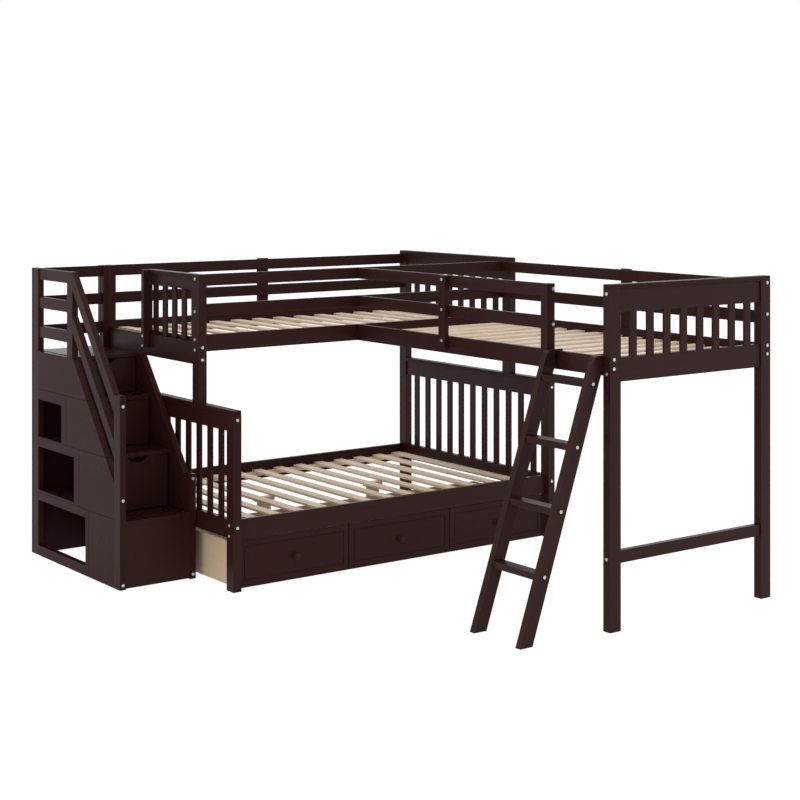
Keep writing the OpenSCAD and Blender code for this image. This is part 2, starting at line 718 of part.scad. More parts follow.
module upper_side_rails() {
  color(ESPRESSO) place() for (y = [front_rail_y, back_rail_y]) difference() {
    board([rail_x[0], y, up_rail_z], [rail_x[1], y + rail_t, up_rail_top]);
    bolt_holes(concat(UP_SIDE_BOLTS, JOIN_RAIL_BOLTS, BATTEN_BOLTS));
    nut_holes(UP_SIDE_BOLTS);
  }
}

module bunk_guards() {
  color(ESPRESSO) place() for (y = [front_rail_y, back_rail_y], z = [guard_mid_z, guard_top_z])
    difference() {
      board([rail_x[0], y, z], [rail_x[1], y + rail_t, z + guard_h]);
      bolt_holes(concat(GUARD_BOLTS, JOIN_GUARD_BOLTS, BATTEN_BOLTS));
      nut_holes(GUARD_BOLTS);
    }
}

module loft_side_rails() {
  color(ESPRESSO) place() for (x = [near_x, far_x]) difference() {
    board([x, loft_in_y, up_rail_z], [x + rail_t, front_rail_y, up_rail_top]);
    bolt_holes(concat(LOFT_RAIL_BOLTS, JOIN_RAIL_BOLTS, MID_POST_BOLTS, BATTEN_BOLTS));
    nut_holes(concat(LOFT_RAIL_BOLTS, JOIN_RAIL_BOLTS));
  }
}

module loft_guards() {
  color(ESPRESSO) place() for (g = [[near_x, side_post_y], [far_x, loft_in_y]],
      z = [guard_mid_z, guard_top_z])
    difference() {
      board([g[0], g[1], z], [g[0] + rail_t, front_rail_y, z + guard_h]);
      bolt_holes(concat(LOFT_GUARD_BOLTS, JOIN_GUARD_BOLTS, MID_POST_BOLTS, BATTEN_BOLTS));
      nut_holes(concat(LOFT_GUARD_BOLTS, JOIN_GUARD_BOLTS));
    }
}

// The middle guard post, the lapped post beside the ladder and the post beside the entry
module guard_posts() {
  lap_z = up_rail_top - guard_post_lap;
  color(ESPRESSO) place() difference() {
    union() {
      board([near_x - guard_post_t, mid_post_y, lap_z],
        [near_x, mid_post_y + guard_post_w, guard_top]);
      board([near_x - guard_post_t, guard_end_y, lap_z], [near_x, side_post_y, guard_top + 2]);
      board([near_x - guard_post_t, guard_end_y, up_rail_top],
        [near_x + rail_t, side_post_y, guard_top + 2]);
      board([-stair_t, entry_post_y, entry_post_z], [0, foot_guard_len, foot_h]);
    }
    bolt_holes(concat(MID_POST_BOLTS, LOFT_GUARD_BOLTS, ENTRY_BOLTS));
  }
}

module guard_battens() {
  color(ESPRESSO) place() difference() {
    union() {
      board([batten_x - batten_w / 2, upper_w - rail_setback, up_rail_z],
        [batten_x + batten_w / 2, upper_w, guard_top + batten_rise]);
      board([loft_x1 - rail_setback, batten_y - batten_w / 2, up_rail_z],
        [loft_x1, batten_y + batten_w / 2, guard_top + batten_rise]);
    }
    bolt_holes(BATTEN_BOLTS);
  }
}

module lower_slats() {
  clear = rail_x[1] - rail_x[0];
  color(PINE) place() for (k = [0:slat_count(clear) - 1]) {
    x = slat_at(rail_x[0], clear, k);
    board([x, low_front_rail_y + rail_t, low_slat_z], [x + slat_w, back_rail_y, low_slat_z + slat_t]);
  }
}

module upper_slats() {
  clear = rail_x[1] - rail_x[0];
  color(PINE) place() for (k = [0:slat_count(clear) - 1]) {
    x = slat_at(rail_x[0], clear, k);
    board([x, front_rail_y + rail_t, up_slat_z], [x + slat_w, back_rail_y, up_slat_z + slat_t]);
  }
}

module loft_slats() {
  clear = front_rail_y - loft_in_y;
  color(PINE) place() for (k = [0:slat_count(clear) - 1]) {
    y = slat_at(loft_in_y, clear, k);
    board([near_x + rail_t, y, up_slat_z], [far_x, y + slat_w, up_slat_z + slat_t]);
  }
}

// Ledges under the slat ends; the upper front one leaves room for the bolts of the loft
module slat_ledges() {
  gap = head_r + 6;
  color(PINE) place() {
    for (p = [[low_front_rail_y + rail_t, low_slat_z], [back_rail_y - ledge_w, low_slat_z],
        [back_rail_y - ledge_w, up_slat_z]])
      board([rail_x[0], p[0], p[1] - ledge_h], [rail_x[1], p[0] + ledge_w, p[1]]);
    difference() {
      board([rail_x[0] + stop_t, front_rail_y + rail_t, up_slat_z - ledge_h],
        [rail_x[1], front_rail_y + rail_t + ledge_w, up_slat_z]);
      for (x = [near_x, far_x])
        board([x + rail_t / 2 - gap, front_rail_y, up_slat_z - ledge_h - cut],
          [x + rail_t / 2 + gap, front_rail_y + rail_t + ledge_w + cut, up_slat_z + cut]);
    }
    for (x = [near_x + rail_t, far_x - ledge_w])
      board([x, loft_in_y, up_slat_z - ledge_h], [x + ledge_w, front_rail_y, up_slat_z]);
  }
}

// Two legs in gaps between the lower slats, each with a head that reaches under both slats
module centre_legs() {
  clear = rail_x[1] - rail_x[0];
  gap = slat_pitch - slat_w;
  color(PINE) place() for (k = [3, slat_count(clear) - 6]) {
    x = slat_at(rail_x[0], clear, k) + slat_w + gap / 2;
    board([x - centre_leg_w / 2, centre_leg_y, 0],
      [x + centre_leg_w / 2, centre_leg_y + centre_leg_t, low_slat_z - centre_head_h - glue_line]);
    board([x - gap / 2 - 14, centre_leg_y - 8, low_slat_z - centre_head_h],
      [x + gap / 2 + 14, centre_leg_y + centre_leg_t + 8, low_slat_z]);
  }
}

module frame_bolts() {
  color(STEEL) place() for (b = BOLTS) bolt(b);
}

module barrel_nuts() {
  color(STEEL) place() for (b = BOLTS) barrel_nut(b);
}

// ---- Staircase -------------------------------------------------------------
// A staircase side: level along the platform and sloping down to the front post
module stair_side(x, y0, y1) {
  front_z = side_front_z + slope * (y0 - side_y0);
  translate([x, 0, 0]) rotate([90, 0, 90]) linear_extrude(stair_t)
    polygon([[y0, 0], [y1, 0], [y1, side_top_z], [slope_top_y, side_top_z], [y0, front_z]]);
}

// A sloping board between the front left post and the middle post
module slope_board(z, h) {
  rise = slope * (mid_stair_y - side_y0);
  translate([stair_x0, 0, 0]) rotate([90, 0, 90]) linear_extrude(stair_t)
    polygon([[side_y0, z], [mid_stair_y, z + rise], [mid_stair_y, z + rise + h], [side_y0, z + h]]);
}

module stair_posts() {
  color(ESPRESSO) place() {
    difference() {
      board([stair_x0, stair_y, 0], [stair_in0, side_y0, front_post_top]);
      bolt_holes(concat(STAIR_LEFT_BOLTS, HANDRAIL_BOLTS));
    }
    difference() {
      board([stair_in1, stair_y, 0], [0, side_y0, right_post_top]);
      bolt_holes(STAIR_RIGHT_BOLTS);
    }
    board([stair_x0, mid_stair_y, side_top_z], [stair_in0, mid_stair_y + stair_post_w, foot_h]);
    board([stair_x0, left_back_y, 0], [stair_in0, stair_back, foot_h]);
    difference() {
      board([stair_in1, back_post_y, 0], [0, stair_back, foot_h]);
      bolt_holes(concat(LOW_SIDE_BOLTS, UP_SIDE_BOLTS, GUARD_BOLTS));
    }
  }
}

// The left side, with three cubbies cut through it
module stair_left_side() {
  color(ESPRESSO) place() difference() {
    stair_side(stair_x0, side_y0, left_back_y);
    board([stair_x0 - cut, cubby_1_y, cubby_base],
      [stair_in0 + cut, left_back_y, tread_1_z - tread_t - cubby_rim - 3]);
    board([stair_x0 - cut, cubby_2_y, tread_1_z + cubby_rim],
      [stair_in0 + cut, left_back_y, tread_2_z - tread_t - cubby_rim - 9]);
    board([stair_x0 - cut, cubby_3_y, tread_2_z + cubby_rim / 2],
      [stair_in0 + cut, left_back_y, tread_3_z - tread_t - cubby_rim * 2]);
    bolt_holes(STAIR_LEFT_BOLTS);
    nut_holes(STAIR_LEFT_BOLTS);
  }
}

module stair_right_side() {
  color(ESPRESSO) place() difference() {
    stair_side(stair_in1, side_y0, back_post_y);
    bolt_holes(STAIR_RIGHT_BOLTS);
    nut_holes(STAIR_RIGHT_BOLTS);
  }
}

// A level board inside the staircase, given by its top
module level_board(y0, y1, z) {
  board([stair_in0, y0, z - tread_t], [stair_in1, y1, z]);
}

// A plumb board inside the staircase, given by its front face
module plumb_board(y, z0, z1) {
  board([stair_in0, y, z0], [stair_in1, y + divider_t, z1]);
}

module stair_treads() {
  color(ESPRESSO) place() {
    level_board(stair_y + 1, cubby_1_y, tread_1_z);
    level_board(riser_2_y - nosing, cubby_2_y, tread_2_z);
    level_board(riser_3_y - nosing, cubby_3_y, tread_3_z);
    level_board(riser_4_y - nosing, stair_back - divider_t, platform_z);
  }
}

module stair_riser() {
  color(ESPRESSO) place() plumb_board(riser_1_y, 5, tread_1_z - tread_t);
}

module stair_shelves() {
  color(ESPRESSO) place() {
    level_board(cubby_1_y, back_panel_y, tread_1_z);
    level_board(cubby_2_y, back_panel_y, tread_2_z);
    level_board(cubby_3_y, back_panel_y, tread_3_z);
  }
}

// One divider behind each cubby's front edge, and the back of the staircase
module stair_dividers() {
  color(ESPRESSO) place() {
    plumb_board(cubby_1_y - divider_t, 0, tread_1_z - tread_t);
    plumb_board(cubby_2_y - divider_t, tread_1_z, tread_2_z - tread_t);
    plumb_board(cubby_3_y - divider_t, tread_2_z, tread_3_z - tread_t);
    plumb_board(back_panel_y, 0, platform_z - tread_t);
  }
}

module stair_handrails() {
  color(ESPRESSO) place() difference() {
    union() {
      slope_board(handrail_z, handrail_h);
      slope_board(handrail_z - midrail_drop, midrail_h);
    }
    bolt_holes(HANDRAIL_BOLTS);
  }
}

module stair_guards() {
  side_x = stair_x0 + (stair_t - rail_t) / 2;
  back_y = back_rail_y - rail_t / 2 - head_r - 4;     // just in front of the bolt heads
  color(ESPRESSO) place() for (z = [stair_guard_z, guard_mid_z, guard_top_z]) {
    board([side_x, mid_stair_y + stair_post_w, z], [side_x + rail_t, left_back_y, z + guard_h]);
    board([stair_in0, back_y, z], [stair_in1, back_y + rail_t, z + guard_h]);
  }
}

// ---- Drawers ---------------------------------------------------------------
// Middle height of the slides beside a staircase drawer
function slide_z(s) = (step_bottom(s) + step_box_top(s)) / 2;
function step_bottom(s) = s[1] + step_low_gap;
function step_top(s) = s[2] - step_top_gap;
function step_box_top(s) = step_top(s) - notch_d - 14;

// The back and the bottom of a drawer box, glued between its sides
module box_back_and_bottom(x0, x1, y0, y1, z0, bottom_z, z1) {
  board([x0 + glue_line, y1 - box_t, z0], [x1 - glue_line, y1, z1]);
  board([x0 + glue_line, y0, bottom_z],
    [x1 - glue_line, y1 - box_t - glue_line, bottom_z + bottom_t]);
}

// The fixed halves of the drawer slides, on the inner faces of the staircase
module stair_slides() {
  color(STEEL) place() for (n = [2:4], x = [stair_in0, stair_in1 - slide_t]) {
    s = STEPS[n];
    board([x, s[0] + front_t, slide_z(s) - slide_h / 2],
      [x + slide_t, s[0] + front_t + s[3], slide_z(s) + slide_h / 2]);
  }
}

module step_front(n) {
  s = STEPS[n];
  bow_r = (notch_w * notch_w / 4 + notch_d * notch_d) / (2 * notch_d);
  color(ESPRESSO) place() difference() {
    board([step_x[0], s[0], step_bottom(s)], [step_x[1], s[0] + front_t, step_top(s)]);
    translate([(step_x[0] + step_x[1]) / 2, s[0] - cut, step_top(s) - notch_d + bow_r])
      rotate([-90, 0, 0]) cylinder(r = bow_r, h = front_t + 2 * cut, $fn = 96);
  }
}

module step_box(n) {
  s = STEPS[n];
  x0 = stair_in0 + slide_space;
  x1 = stair_in1 - slide_space;
  y0 = s[0] + front_t;
  y1 = y0 + s[3];
  z0 = step_bottom(s) + 6;
  color(PLY) place() {
    board([x0, y0, z0], [x0 + box_t, y1, step_box_top(s)]);
    board([x1 - box_t, y0, z0], [x1, y1, step_box_top(s)]);
    box_back_and_bottom(x0 + box_t, x1 - box_t, y0, y1, z0, z0 + 6, step_box_top(s));
  }
}

// The moving halves of a staircase drawer's slides
module step_slides(n) {
  s = STEPS[n];
  low = slide_h * 0.3;
  color(STEEL) place() for (x = [stair_in0 + slide_space - slide_t, stair_in1 - slide_space])
    board([x, s[0] + front_t, slide_z(s) - low], [x + slide_t, s[0] + front_t + s[3], slide_z(s) + low]);
}

module roll_front(n) {
  x0 = roll_x(n);
  x1 = x0 + roll_w;
  y = roll_front_y;
  groove = 4;
  deep = 2.5;
  inset = 30;
  z0 = roll_floor_gap + 36;
  z1 = roll_top - inset;
  color(ESPRESSO) place() difference() {
    board([x0, y, roll_floor_gap], [x1, y + front_t, roll_top]);
    for (z = [z0, z1 - groove])
      board([x0 + inset, y - cut, z], [x1 - inset, y + deep, z + groove]);
    for (x = [x0 + inset, x1 - inset - groove])
      board([x, y - cut, z0], [x + groove, y + deep, z1]);
  }
}

module roll_box(n) {
  x0 = roll_x(n);
  x1 = x0 + roll_w;
  y0 = roll_box_y;
  y1 = y0 + roll_depth;
  z0 = roll_floor_gap;
  bottom_z = 2 * wheel_r + 6;
  color(PLY) place() {
    difference() {
      union() {
        board([x0, y0, z0], [x0 + box_t, y1, roll_box_top]);
        board([x1 - box_t, y0, z0], [x1, y1, roll_box_top]);
      }
      for (y = [y0 + axle_inset, y1 - axle_inset])
        translate([x0 + box_t / 2, y, wheel_r]) rotate([0, 90, 0])
          cylinder(r = axle_r + axle_gap, h = roll_w - box_t);
    }
    box_back_and_bottom(x0 + box_t, x1 - box_t, y0, y1, z0, bottom_z, roll_box_top);
  }
}

module roll_knob(n) {
  color(ESPRESSO) place()
    translate([roll_x(n) + roll_w / 2, roll_front_y, (roll_floor_gap + roll_top) / 2])
      rotate([90, 0, 0]) rotate_extrude() polygon([[0, 0], [knob_r * 0.62, 0],
        [knob_r * 0.5, knob_len * 0.2], [knob_r * 0.56, knob_len * 0.38],
        [knob_r * 0.9, knob_len * 0.52], [knob_r, knob_len * 0.68], [knob_r * 0.95, knob_len * 0.84],
        [knob_r * 0.7, knob_len * 0.96], [0, knob_len]]);
}

// Two wheels on one axle; the axle turns in the sides of the box
module roll_wheels(n, y) {
  x0 = roll_x(n) + box_t;
  span = roll_w - 2 * box_t;
  side = box_t / 2 - 1;
  color(BLACK) place() translate([x0, y, wheel_r]) rotate([0, 90, 0]) union() {
    translate([0, 0, -side]) cylinder(r = axle_r, h = span + 2 * side);
    for (z = [slide_gap * 2, span - slide_gap * 2 - wheel_w])
      translate([0, 0, z]) cylinder(r = wheel_r, h = wheel_w, $fn = 48);
  }
}

function front_axle_y() = roll_box_y + axle_inset;
function rear_axle_y() = roll_box_y + roll_depth - axle_inset;

// ---- Ladder ----------------------------------------------------------------
// A leg is a leaning strip cut level at the floor, plumb at the rail and rounded at the top
module ladder_leg(y) {
  round_r = leg_w * 0.4;
  reach = leg_top + leg_w;
  lean = reach / tan(ladder_angle);
  top_x = leg_foot_x - leg_run + leg_top / tan(ladder_angle);
  difference() {
    translate([0, y + leg_t, 0]) rotate([90, 0, 0]) linear_extrude(leg_t)
      polygon([[leg_foot_x - leg_run, 0], [leg_foot_x, 0], [leg_foot_x + lean, reach],
        [leg_foot_x - leg_run + lean, reach]]);
    board([leg_foot_x, y - cut, leg_top], [near_x + 2 * leg_w, y + leg_t + cut, reach + cut]);
    board([near_x - slide_gap, y - cut, 0], [near_x + 2 * leg_w, y + leg_t + cut, reach]);
    difference() {
      board([top_x - round_r, y - cut, leg_top - round_r],
        [top_x + round_r * 0.9, y + leg_t + cut, leg_top + cut]);
      translate([top_x + round_r * 0.9, y - 2 * cut, leg_top - round_r])
        rotate([-90, 0, 0]) cylinder(r = round_r, h = leg_t + 4 * cut, $fn = 48);
    }
  }
}

module ladder_legs() {
  color(ESPRESSO) place() difference() {
    union() {
      ladder_leg(ladder_y0);
      ladder_leg(ladder_y1 - leg_t);
    }
    bolt_holes(LADDER_BOLTS);
  }
}

module ladder_rungs() {
  color(ESPRESSO) place() for (z = RUNGS) {
    x = leg_mid_x(z - rung_h / 2);
    difference() {
      board([x - rung_d / 2, ladder_y0 + leg_t, z - rung_h], [x + rung_d / 2, ladder_y1 - leg_t, z]);
      bolt_holes(LADDER_BOLTS);
    }
  }
}

// The rung bolts and the two hook plates that hang over the loft rail
module ladder_hardware() {
  over = near_x + rail_t + slide_gap;
  seat = up_rail_top + slide_gap;
  root = leg_mid_x(up_rail_top);
  color(STEEL) place() {
    for (b = LADDER_BOLTS) bolt(b);
    for (y = [ladder_y0 + leg_t, ladder_y1 - leg_t - hook_t]) union() {
      board([root, y, seat], [over + hook_lip_t, y + hook_t, seat + hook_arm_h]);
      board([root, y, up_rail_top - hook_shank], [near_x - hook_gap, y + hook_t, seat + hook_arm_h]);
      board([over, y, seat - hook_lip], [over + hook_lip_t, y + hook_t, seat + hook_arm_h]);
    }
  }
}

lower_front_posts();
upper_front_posts();
back_posts();
loft_posts();
end_caps();
bunk_end_rails();
bunk_end_spindles();
loft_end_rails();
loft_end_spindles();
lower_side_rails();
upper_side_rails();
bunk_guards();
loft_side_rails();
loft_guards();
guard_posts();
guard_battens();
lower_slats();
upper_slats();
loft_slats();
slat_ledges();
centre_legs();
frame_bolts();
barrel_nuts();
stair_posts();
stair_left_side();
stair_right_side();
stair_treads();
stair_riser();
stair_shelves();
stair_dividers();
stair_handrails();
stair_guards();
stair_slides();
roll_front(1);  // roll_1_front
roll_box(1);  // roll_1_box
roll_knob(1);  // roll_1_knob
roll_wheels(1, front_axle_y());  // roll_1_front_wheels
roll_wheels(1, rear_axle_y());  // roll_1_rear_wheels
roll_front(2);  // roll_2_front
roll_box(2);  // roll_2_box
roll_knob(2);  // roll_2_knob
roll_wheels(2, front_axle_y());  // roll_2_front_wheels
roll_wheels(2, rear_axle_y());  // roll_2_rear_wheels
roll_front(3);  // roll_3_front
roll_box(3);  // roll_3_box
roll_knob(3);  // roll_3_knob
roll_wheels(3, front_axle_y());  // roll_3_front_wheels
roll_wheels(3, rear_axle_y());  // roll_3_rear_wheels
step_front(2);  // step_2_front
step_box(2);  // step_2_box
step_slides(2);  // step_2_slides
step_front(3);  // step_3_front
step_box(3);  // step_3_box
step_slides(3);  // step_3_slides
step_front(4);  // step_4_front
step_box(4);  // step_4_box
step_slides(4);  // step_4_slides
ladder_legs();
ladder_rungs();
ladder_hardware();
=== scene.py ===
"""The looks of an L shaped bunk bed: stained boards, bare slats, plywood drawers and metal fittings.

Everything is in metres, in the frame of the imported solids. Each piece stands for one node of the frame and
rides on that node's body. Boards without holes are worked out with numpy. Boards with holes are copies of
their solids, with the long edges rounded.
"""

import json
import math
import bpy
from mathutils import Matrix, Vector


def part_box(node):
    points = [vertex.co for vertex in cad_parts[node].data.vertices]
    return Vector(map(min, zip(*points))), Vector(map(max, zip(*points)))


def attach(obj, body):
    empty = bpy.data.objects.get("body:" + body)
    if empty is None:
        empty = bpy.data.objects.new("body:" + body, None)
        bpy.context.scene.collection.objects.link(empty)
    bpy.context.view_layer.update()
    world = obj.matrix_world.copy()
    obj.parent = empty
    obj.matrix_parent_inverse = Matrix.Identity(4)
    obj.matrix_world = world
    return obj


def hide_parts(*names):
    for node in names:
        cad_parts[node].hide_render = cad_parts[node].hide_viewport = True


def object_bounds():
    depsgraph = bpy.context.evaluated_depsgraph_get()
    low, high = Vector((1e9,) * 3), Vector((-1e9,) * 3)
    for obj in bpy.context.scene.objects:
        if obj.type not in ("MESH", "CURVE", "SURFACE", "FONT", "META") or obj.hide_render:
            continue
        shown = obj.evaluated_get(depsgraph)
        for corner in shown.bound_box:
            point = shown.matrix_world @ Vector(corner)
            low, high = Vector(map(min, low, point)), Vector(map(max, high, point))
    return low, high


bl_info = {
    "name": "L Shaped Bunk Bed",
    "version": (1, 0, 0),
    "blender": (4, 5, 0),
    "location": "3D View > Sidebar > Bunk Bed",
    "description": "Builds the boards, fittings, finishes and stage of an L shaped bunk bed",
    "category": "Add Mesh",
}

import bmesh
import bpy
import numpy as np
from bpy.props import FloatProperty, FloatVectorProperty, IntProperty, PointerProperty
from bpy.types import Operator, Panel, PropertyGroup
from mathutils import Vector

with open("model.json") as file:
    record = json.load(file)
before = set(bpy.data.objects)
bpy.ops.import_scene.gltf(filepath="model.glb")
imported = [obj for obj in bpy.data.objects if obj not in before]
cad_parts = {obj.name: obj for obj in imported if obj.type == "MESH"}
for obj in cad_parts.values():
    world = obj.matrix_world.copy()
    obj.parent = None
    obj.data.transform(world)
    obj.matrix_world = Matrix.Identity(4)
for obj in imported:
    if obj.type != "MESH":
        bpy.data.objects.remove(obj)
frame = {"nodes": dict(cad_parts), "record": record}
CAD_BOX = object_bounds()
BODY_OF = {node: body for body, nodes in frame["record"]["behaviour"]["bodies"].items() for node in nodes}
SLOT_OF = {part["node"]: part["material_slot"] for part in frame["record"]["subparts"]}

MERGE = 1e-5               # corners of a solid closer than this are one corner
ON_PLANE = 1e-6            # corners closer than this to a cut lie on it
DOUBLES = 1e-7             # corners of a new mesh closer than this are one corner
FLAT_ANGLE = math.radians(1)
SHARP_ANGLE = math.radians(40)
LONG_EDGE = 0.0026         # edges of round holes are shorter than this, and stay sharp
ROUNDED_FACE = 0.065       # how far a face may lean from a board's own axes and still count as flat
LARGEST_ROUNDING = 0.45    # of a board's thickness
GRAIN_REACH = 20           # each board's pattern starts at a place drawn within this length
ON_RIM = 0.95              # corners farther out than this share of the radius lie on a turned part's rim
ROD_SIDES = 24             # sides of a bolt or an axle
KNOB_SIDES = 48
FLOOR_SIDES = 48
WHEEL_SIDES = 72
RIM_POINTS = 4             # points in the quarter circle of a rounded rim
SOCKET_TAPER = 0.98        # width of a bolt's socket at its floor, as a share of its width at the mouth
LIP_WIDTH = 0.0004         # bevel round the socket's mouth
LIP_DROP = 0.0003
TIP_SHARE = 0.7            # radius of a bolt's tip, as a share of its shank's

# Groups of nodes that are made alike
POSTS = ("lower_front_posts", "upper_front_posts", "back_posts", "loft_posts", "stair_posts", "guard_posts")
DRILLED_RAILS = ("bunk_end_rails", "loft_end_rails", "lower_side_rails", "upper_side_rails", "bunk_guards",
                 "loft_side_rails", "loft_guards", "guard_battens")
SPINDLES = ("bunk_end_spindles", "loft_end_spindles")
SLATS = ("lower_slats", "upper_slats", "loft_slats")
SUPPORTS = ("slat_ledges", "centre_legs")
STAIR_PANELS = ("stair_riser", "stair_shelves", "stair_dividers")
STEPS = ("step_2", "step_3", "step_4")
ROLLS = ("roll_1", "roll_2", "roll_3")

# Nodes that take a copy of their slot's finish with less sheen: painted shade, which makes them reflect less
# light than the rest of the bed
SHADED_COPY_FINISH = {**dict.fromkeys(("stair_posts", "stair_guards", "stair_handrails", "end_caps"), "painted_shade_wood"),
              **dict.fromkeys(("stair_left_side", "stair_right_side"), "painted_shade_panel")}


# ---- Sizes and colours ----
def length(name, description, default):
    """A length property in metres."""
    return FloatProperty(name=name, description=description, default=default, min=0.0, precision=5,
                         unit="LENGTH", subtype="DISTANCE")


def colour(name, description, default):
    """A colour property, in linear red, green and blue."""
    return FloatVectorProperty(name=name, description=description, default=default, size=3, min=0.0, max=1.0,
                               subtype="COLOR")


class BunkSizes(PropertyGroup):
    """Sizes of the edges and small fittings."""

    post_round: length("Post Rounding", "Rounding of the posts' long edges", 0.0012)
    rail_round: length("Rail Rounding", "Rounding of the rails' and guards' edges", 0.0012)
    cap_round: length("Cap Rounding", "Rounding of the cap boards", 0.0020)
    spindle_round: length("Spindle Rounding", "Rounding of the spindles", 0.0008)
    slat_round: length("Slat Rounding", "Rounding of the slats and ledges", 0.0012)
    tread_round: length("Tread Rounding", "Rounding of the stair treads", 0.0016)
    panel_round: length("Panel Rounding", "Rounding of the thin boards in the staircase", 0.0010)
    front_round: length("Front Rounding", "Rounding of the drawer fronts", 0.0012)
    groove_round: length("Groove Rounding", "Rounding of the grooves' lips in the drawer fronts", 0.0006)
    box_round: length("Box Rounding", "Rounding of the drawer boxes' edges", 0.0008)
    joint_gap: length("Joint Gap", "Width of the joints between the boards of the stair's left side", 0.0014)
    joint_lift: length("Joint Lift", "Height of those joints above the treads", 0.0040)
    arc_steps: IntProperty(name="Arc Steps", description="Faces in a rounded edge", default=2, min=1, max=6)
    head_round: length("Bolt Head Rounding", "Rounding of a bolt head's rim", 0.0010)
    socket_width: length("Socket Width", "Width of the hexagon socket over its corners", 0.0056)
    socket_depth: length("Socket Depth", "Depth of the hexagon socket", 0.0018)
    slide_wall: length("Slide Wall", "Thickness of the drawer slides' steel", 0.0012)
    slide_lip: length("Slide Lip", "Height of the lips that close a drawer slide", 0.0045)
    hook_round: length("Hook Rounding", "Rounding of the hook plates", 0.0007)
    wheel_round: length("Wheel Rounding", "Rounding of a wheel's tread", 0.0016)
    wheel_web: length("Wheel Web", "Depth of the hollow in each face of a wheel", 0.0026)


class BunkFinishes(PropertyGroup):
    """Colours of the finishes."""

    stain: colour("Stain", "Espresso stain on the solid wood", (0.0230, 0.0067, 0.0056))
    stain_deep: colour("Deep Stain", "Espresso stain where the grain takes more", (0.0128, 0.0033, 0.0028))
    stain_thin: colour("Thin Stain", "Espresso stain where an edge is sanded thin", (0.0390, 0.0130, 0.0095))
    panel: colour("Panel Stain", "Espresso stain on the panels and drawer fronts", (0.0218, 0.0068, 0.0058))
    pine: colour("Pine", "Early wood of the bare pine", (0.5500, 0.4420, 0.3400))
    pine_late: colour("Late Pine", "Late wood of the bare pine", (0.4000, 0.2870, 0.1850))
    knot: colour("Knot", "Knots in the pine", (0.1900, 0.0980, 0.0470))
    ply: colour("Plywood", "Face of the birch plywood", (0.4700, 0.3550, 0.2350))
    ply_dark: colour("Dark Ply", "Plies that show their end grain", (0.2300, 0.1400, 0.0760))
    zinc: colour("Zinc", "Zinc plated bolts and plates", (0.6600, 0.6700, 0.6900))
    slide: colour("Slide Steel", "Rolled steel of the drawer slides", (0.5600, 0.5750, 0.6000))
    black: colour("Black Steel", "Black steel of the ladder's hook plates", (0.0600, 0.0380, 0.0350))
    nylon: colour("Nylon", "Black nylon wheels", (0.0150, 0.0150, 0.0160))
    nylon_worn: colour("Worn Nylon", "Nylon where it has rolled", (0.0450, 0.0440, 0.0420))
    floor: colour("Floor", "Pale studio floor", (1.0, 1.0, 1.0))


# ---- Meshes ----
def new_object(name, data):
    """Links a new object to the scene."""
    made = bpy.data.objects.new(name, data)
    bpy.context.scene.collection.objects.link(made)
    return made


def new_piece(node, mesh, *finishes):
    """Links a finished mesh as the piece that stands for a node and rides on its body."""
    for finish in finishes:
        mesh.materials.append(finish_of(finish))
    mesh.shade_smooth()
    mesh.set_sharp_from_angle(angle=SHARP_ANGLE)
    piece = new_object(mesh.name, mesh)
    even = piece.modifiers.new("Even shading", "WEIGHTED_NORMAL")
    even.keep_sharp = True
    even.weight = 100
    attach(piece, BODY_OF[node])
    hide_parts(node)


def board_piece(node, mesh):
    """Gives a node's finished boards their grain and their finish."""
    mesh.name = node + "_boards"
    write_grain(mesh, node)
    new_piece(node, mesh, SHADED_COPY_FINISH.get(node, SLOT_OF[node]))


def mesh_from(name, parts):
    """One mesh from parts, each a pair of corner points (n, 3) and faces. The faces are a list of arrays,
    with one row of corners per face. Doubles are merged, and faces turned out."""
    mesh = bpy.data.meshes.new(name)
    points = np.concatenate([p for p, _ in parts])
    starts = np.cumsum([0] + [len(p) for p, _ in parts[:-1]])
    faces = [row for start, (_, blocks) in zip(starts, parts) for block in blocks
             for row in (np.asarray(block) + start).tolist()]
    mesh.from_pydata(points, [], faces)
    shape = bmesh.new()
    shape.from_mesh(mesh)
    bmesh.ops.remove_doubles(shape, verts=shape.verts, dist=DOUBLES)
    bmesh.ops.recalc_face_normals(shape, faces=shape.faces)
    shape.to_mesh(mesh)
    shape.free()
    return mesh


def columns(data, field, width, kind=float):
    """One property of all elements of a mesh as an array with that many columns."""
    values = np.empty(len(data) * width, kind)
    data.foreach_get(field, values)
    return values.reshape(-1, width) if width > 1 else values


def islands(mesh):
    """The corner points of a mesh, its edges, and the number of the separate part that each corner is on.
    The lowest index that edges lead to is spread along them until it stays."""
    points, pairs = columns(mesh.vertices, "co", 3), columns(mesh.edges, "vertices", 2, np.int32)
    label = np.arange(len(points))
    while True:
        low = np.minimum(label[pairs[:, 0]], label[pairs[:, 1]])
        spread = label.copy()
        np.minimum.at(spread, pairs[:, 0], low)
        np.minimum.at(spread, pairs[:, 1], low)
        spread = spread[spread]
        if np.array_equal(spread, label):
            return points, pairs, np.unique(label, return_inverse=True)[1].reshape(-1)
        label = spread


def label_boxes(points, label):
    """The lowest and highest corners of the points of each label, as two arrays (n, 3)."""
    low, high = np.full((label.max() + 1, 3), np.inf), np.full((label.max() + 1, 3), -np.inf)
    np.minimum.at(low, label, points)
    np.maximum.at(high, label, points)
    return low, high


def grid_faces(index):
    """The quads of a grid of corners whose rows are closed rings."""
    ahead = np.roll(index, -1, axis=1)
    return np.stack([index[:-1], ahead[:-1], ahead[1:], index[1:]], -1).reshape(-1, 4)


def merged_copy(node):
    """A bmesh of a node's solids: loose triangles joined, and flat ones dissolved into whole faces."""
    shape = bmesh.new()
    shape.from_mesh(frame["nodes"][node].data)
    bmesh.ops.remove_doubles(shape, verts=shape.verts, dist=MERGE)
    bmesh.ops.dissolve_limit(shape, angle_limit=FLAT_ANGLE, verts=shape.verts, edges=shape.edges)
    return shape


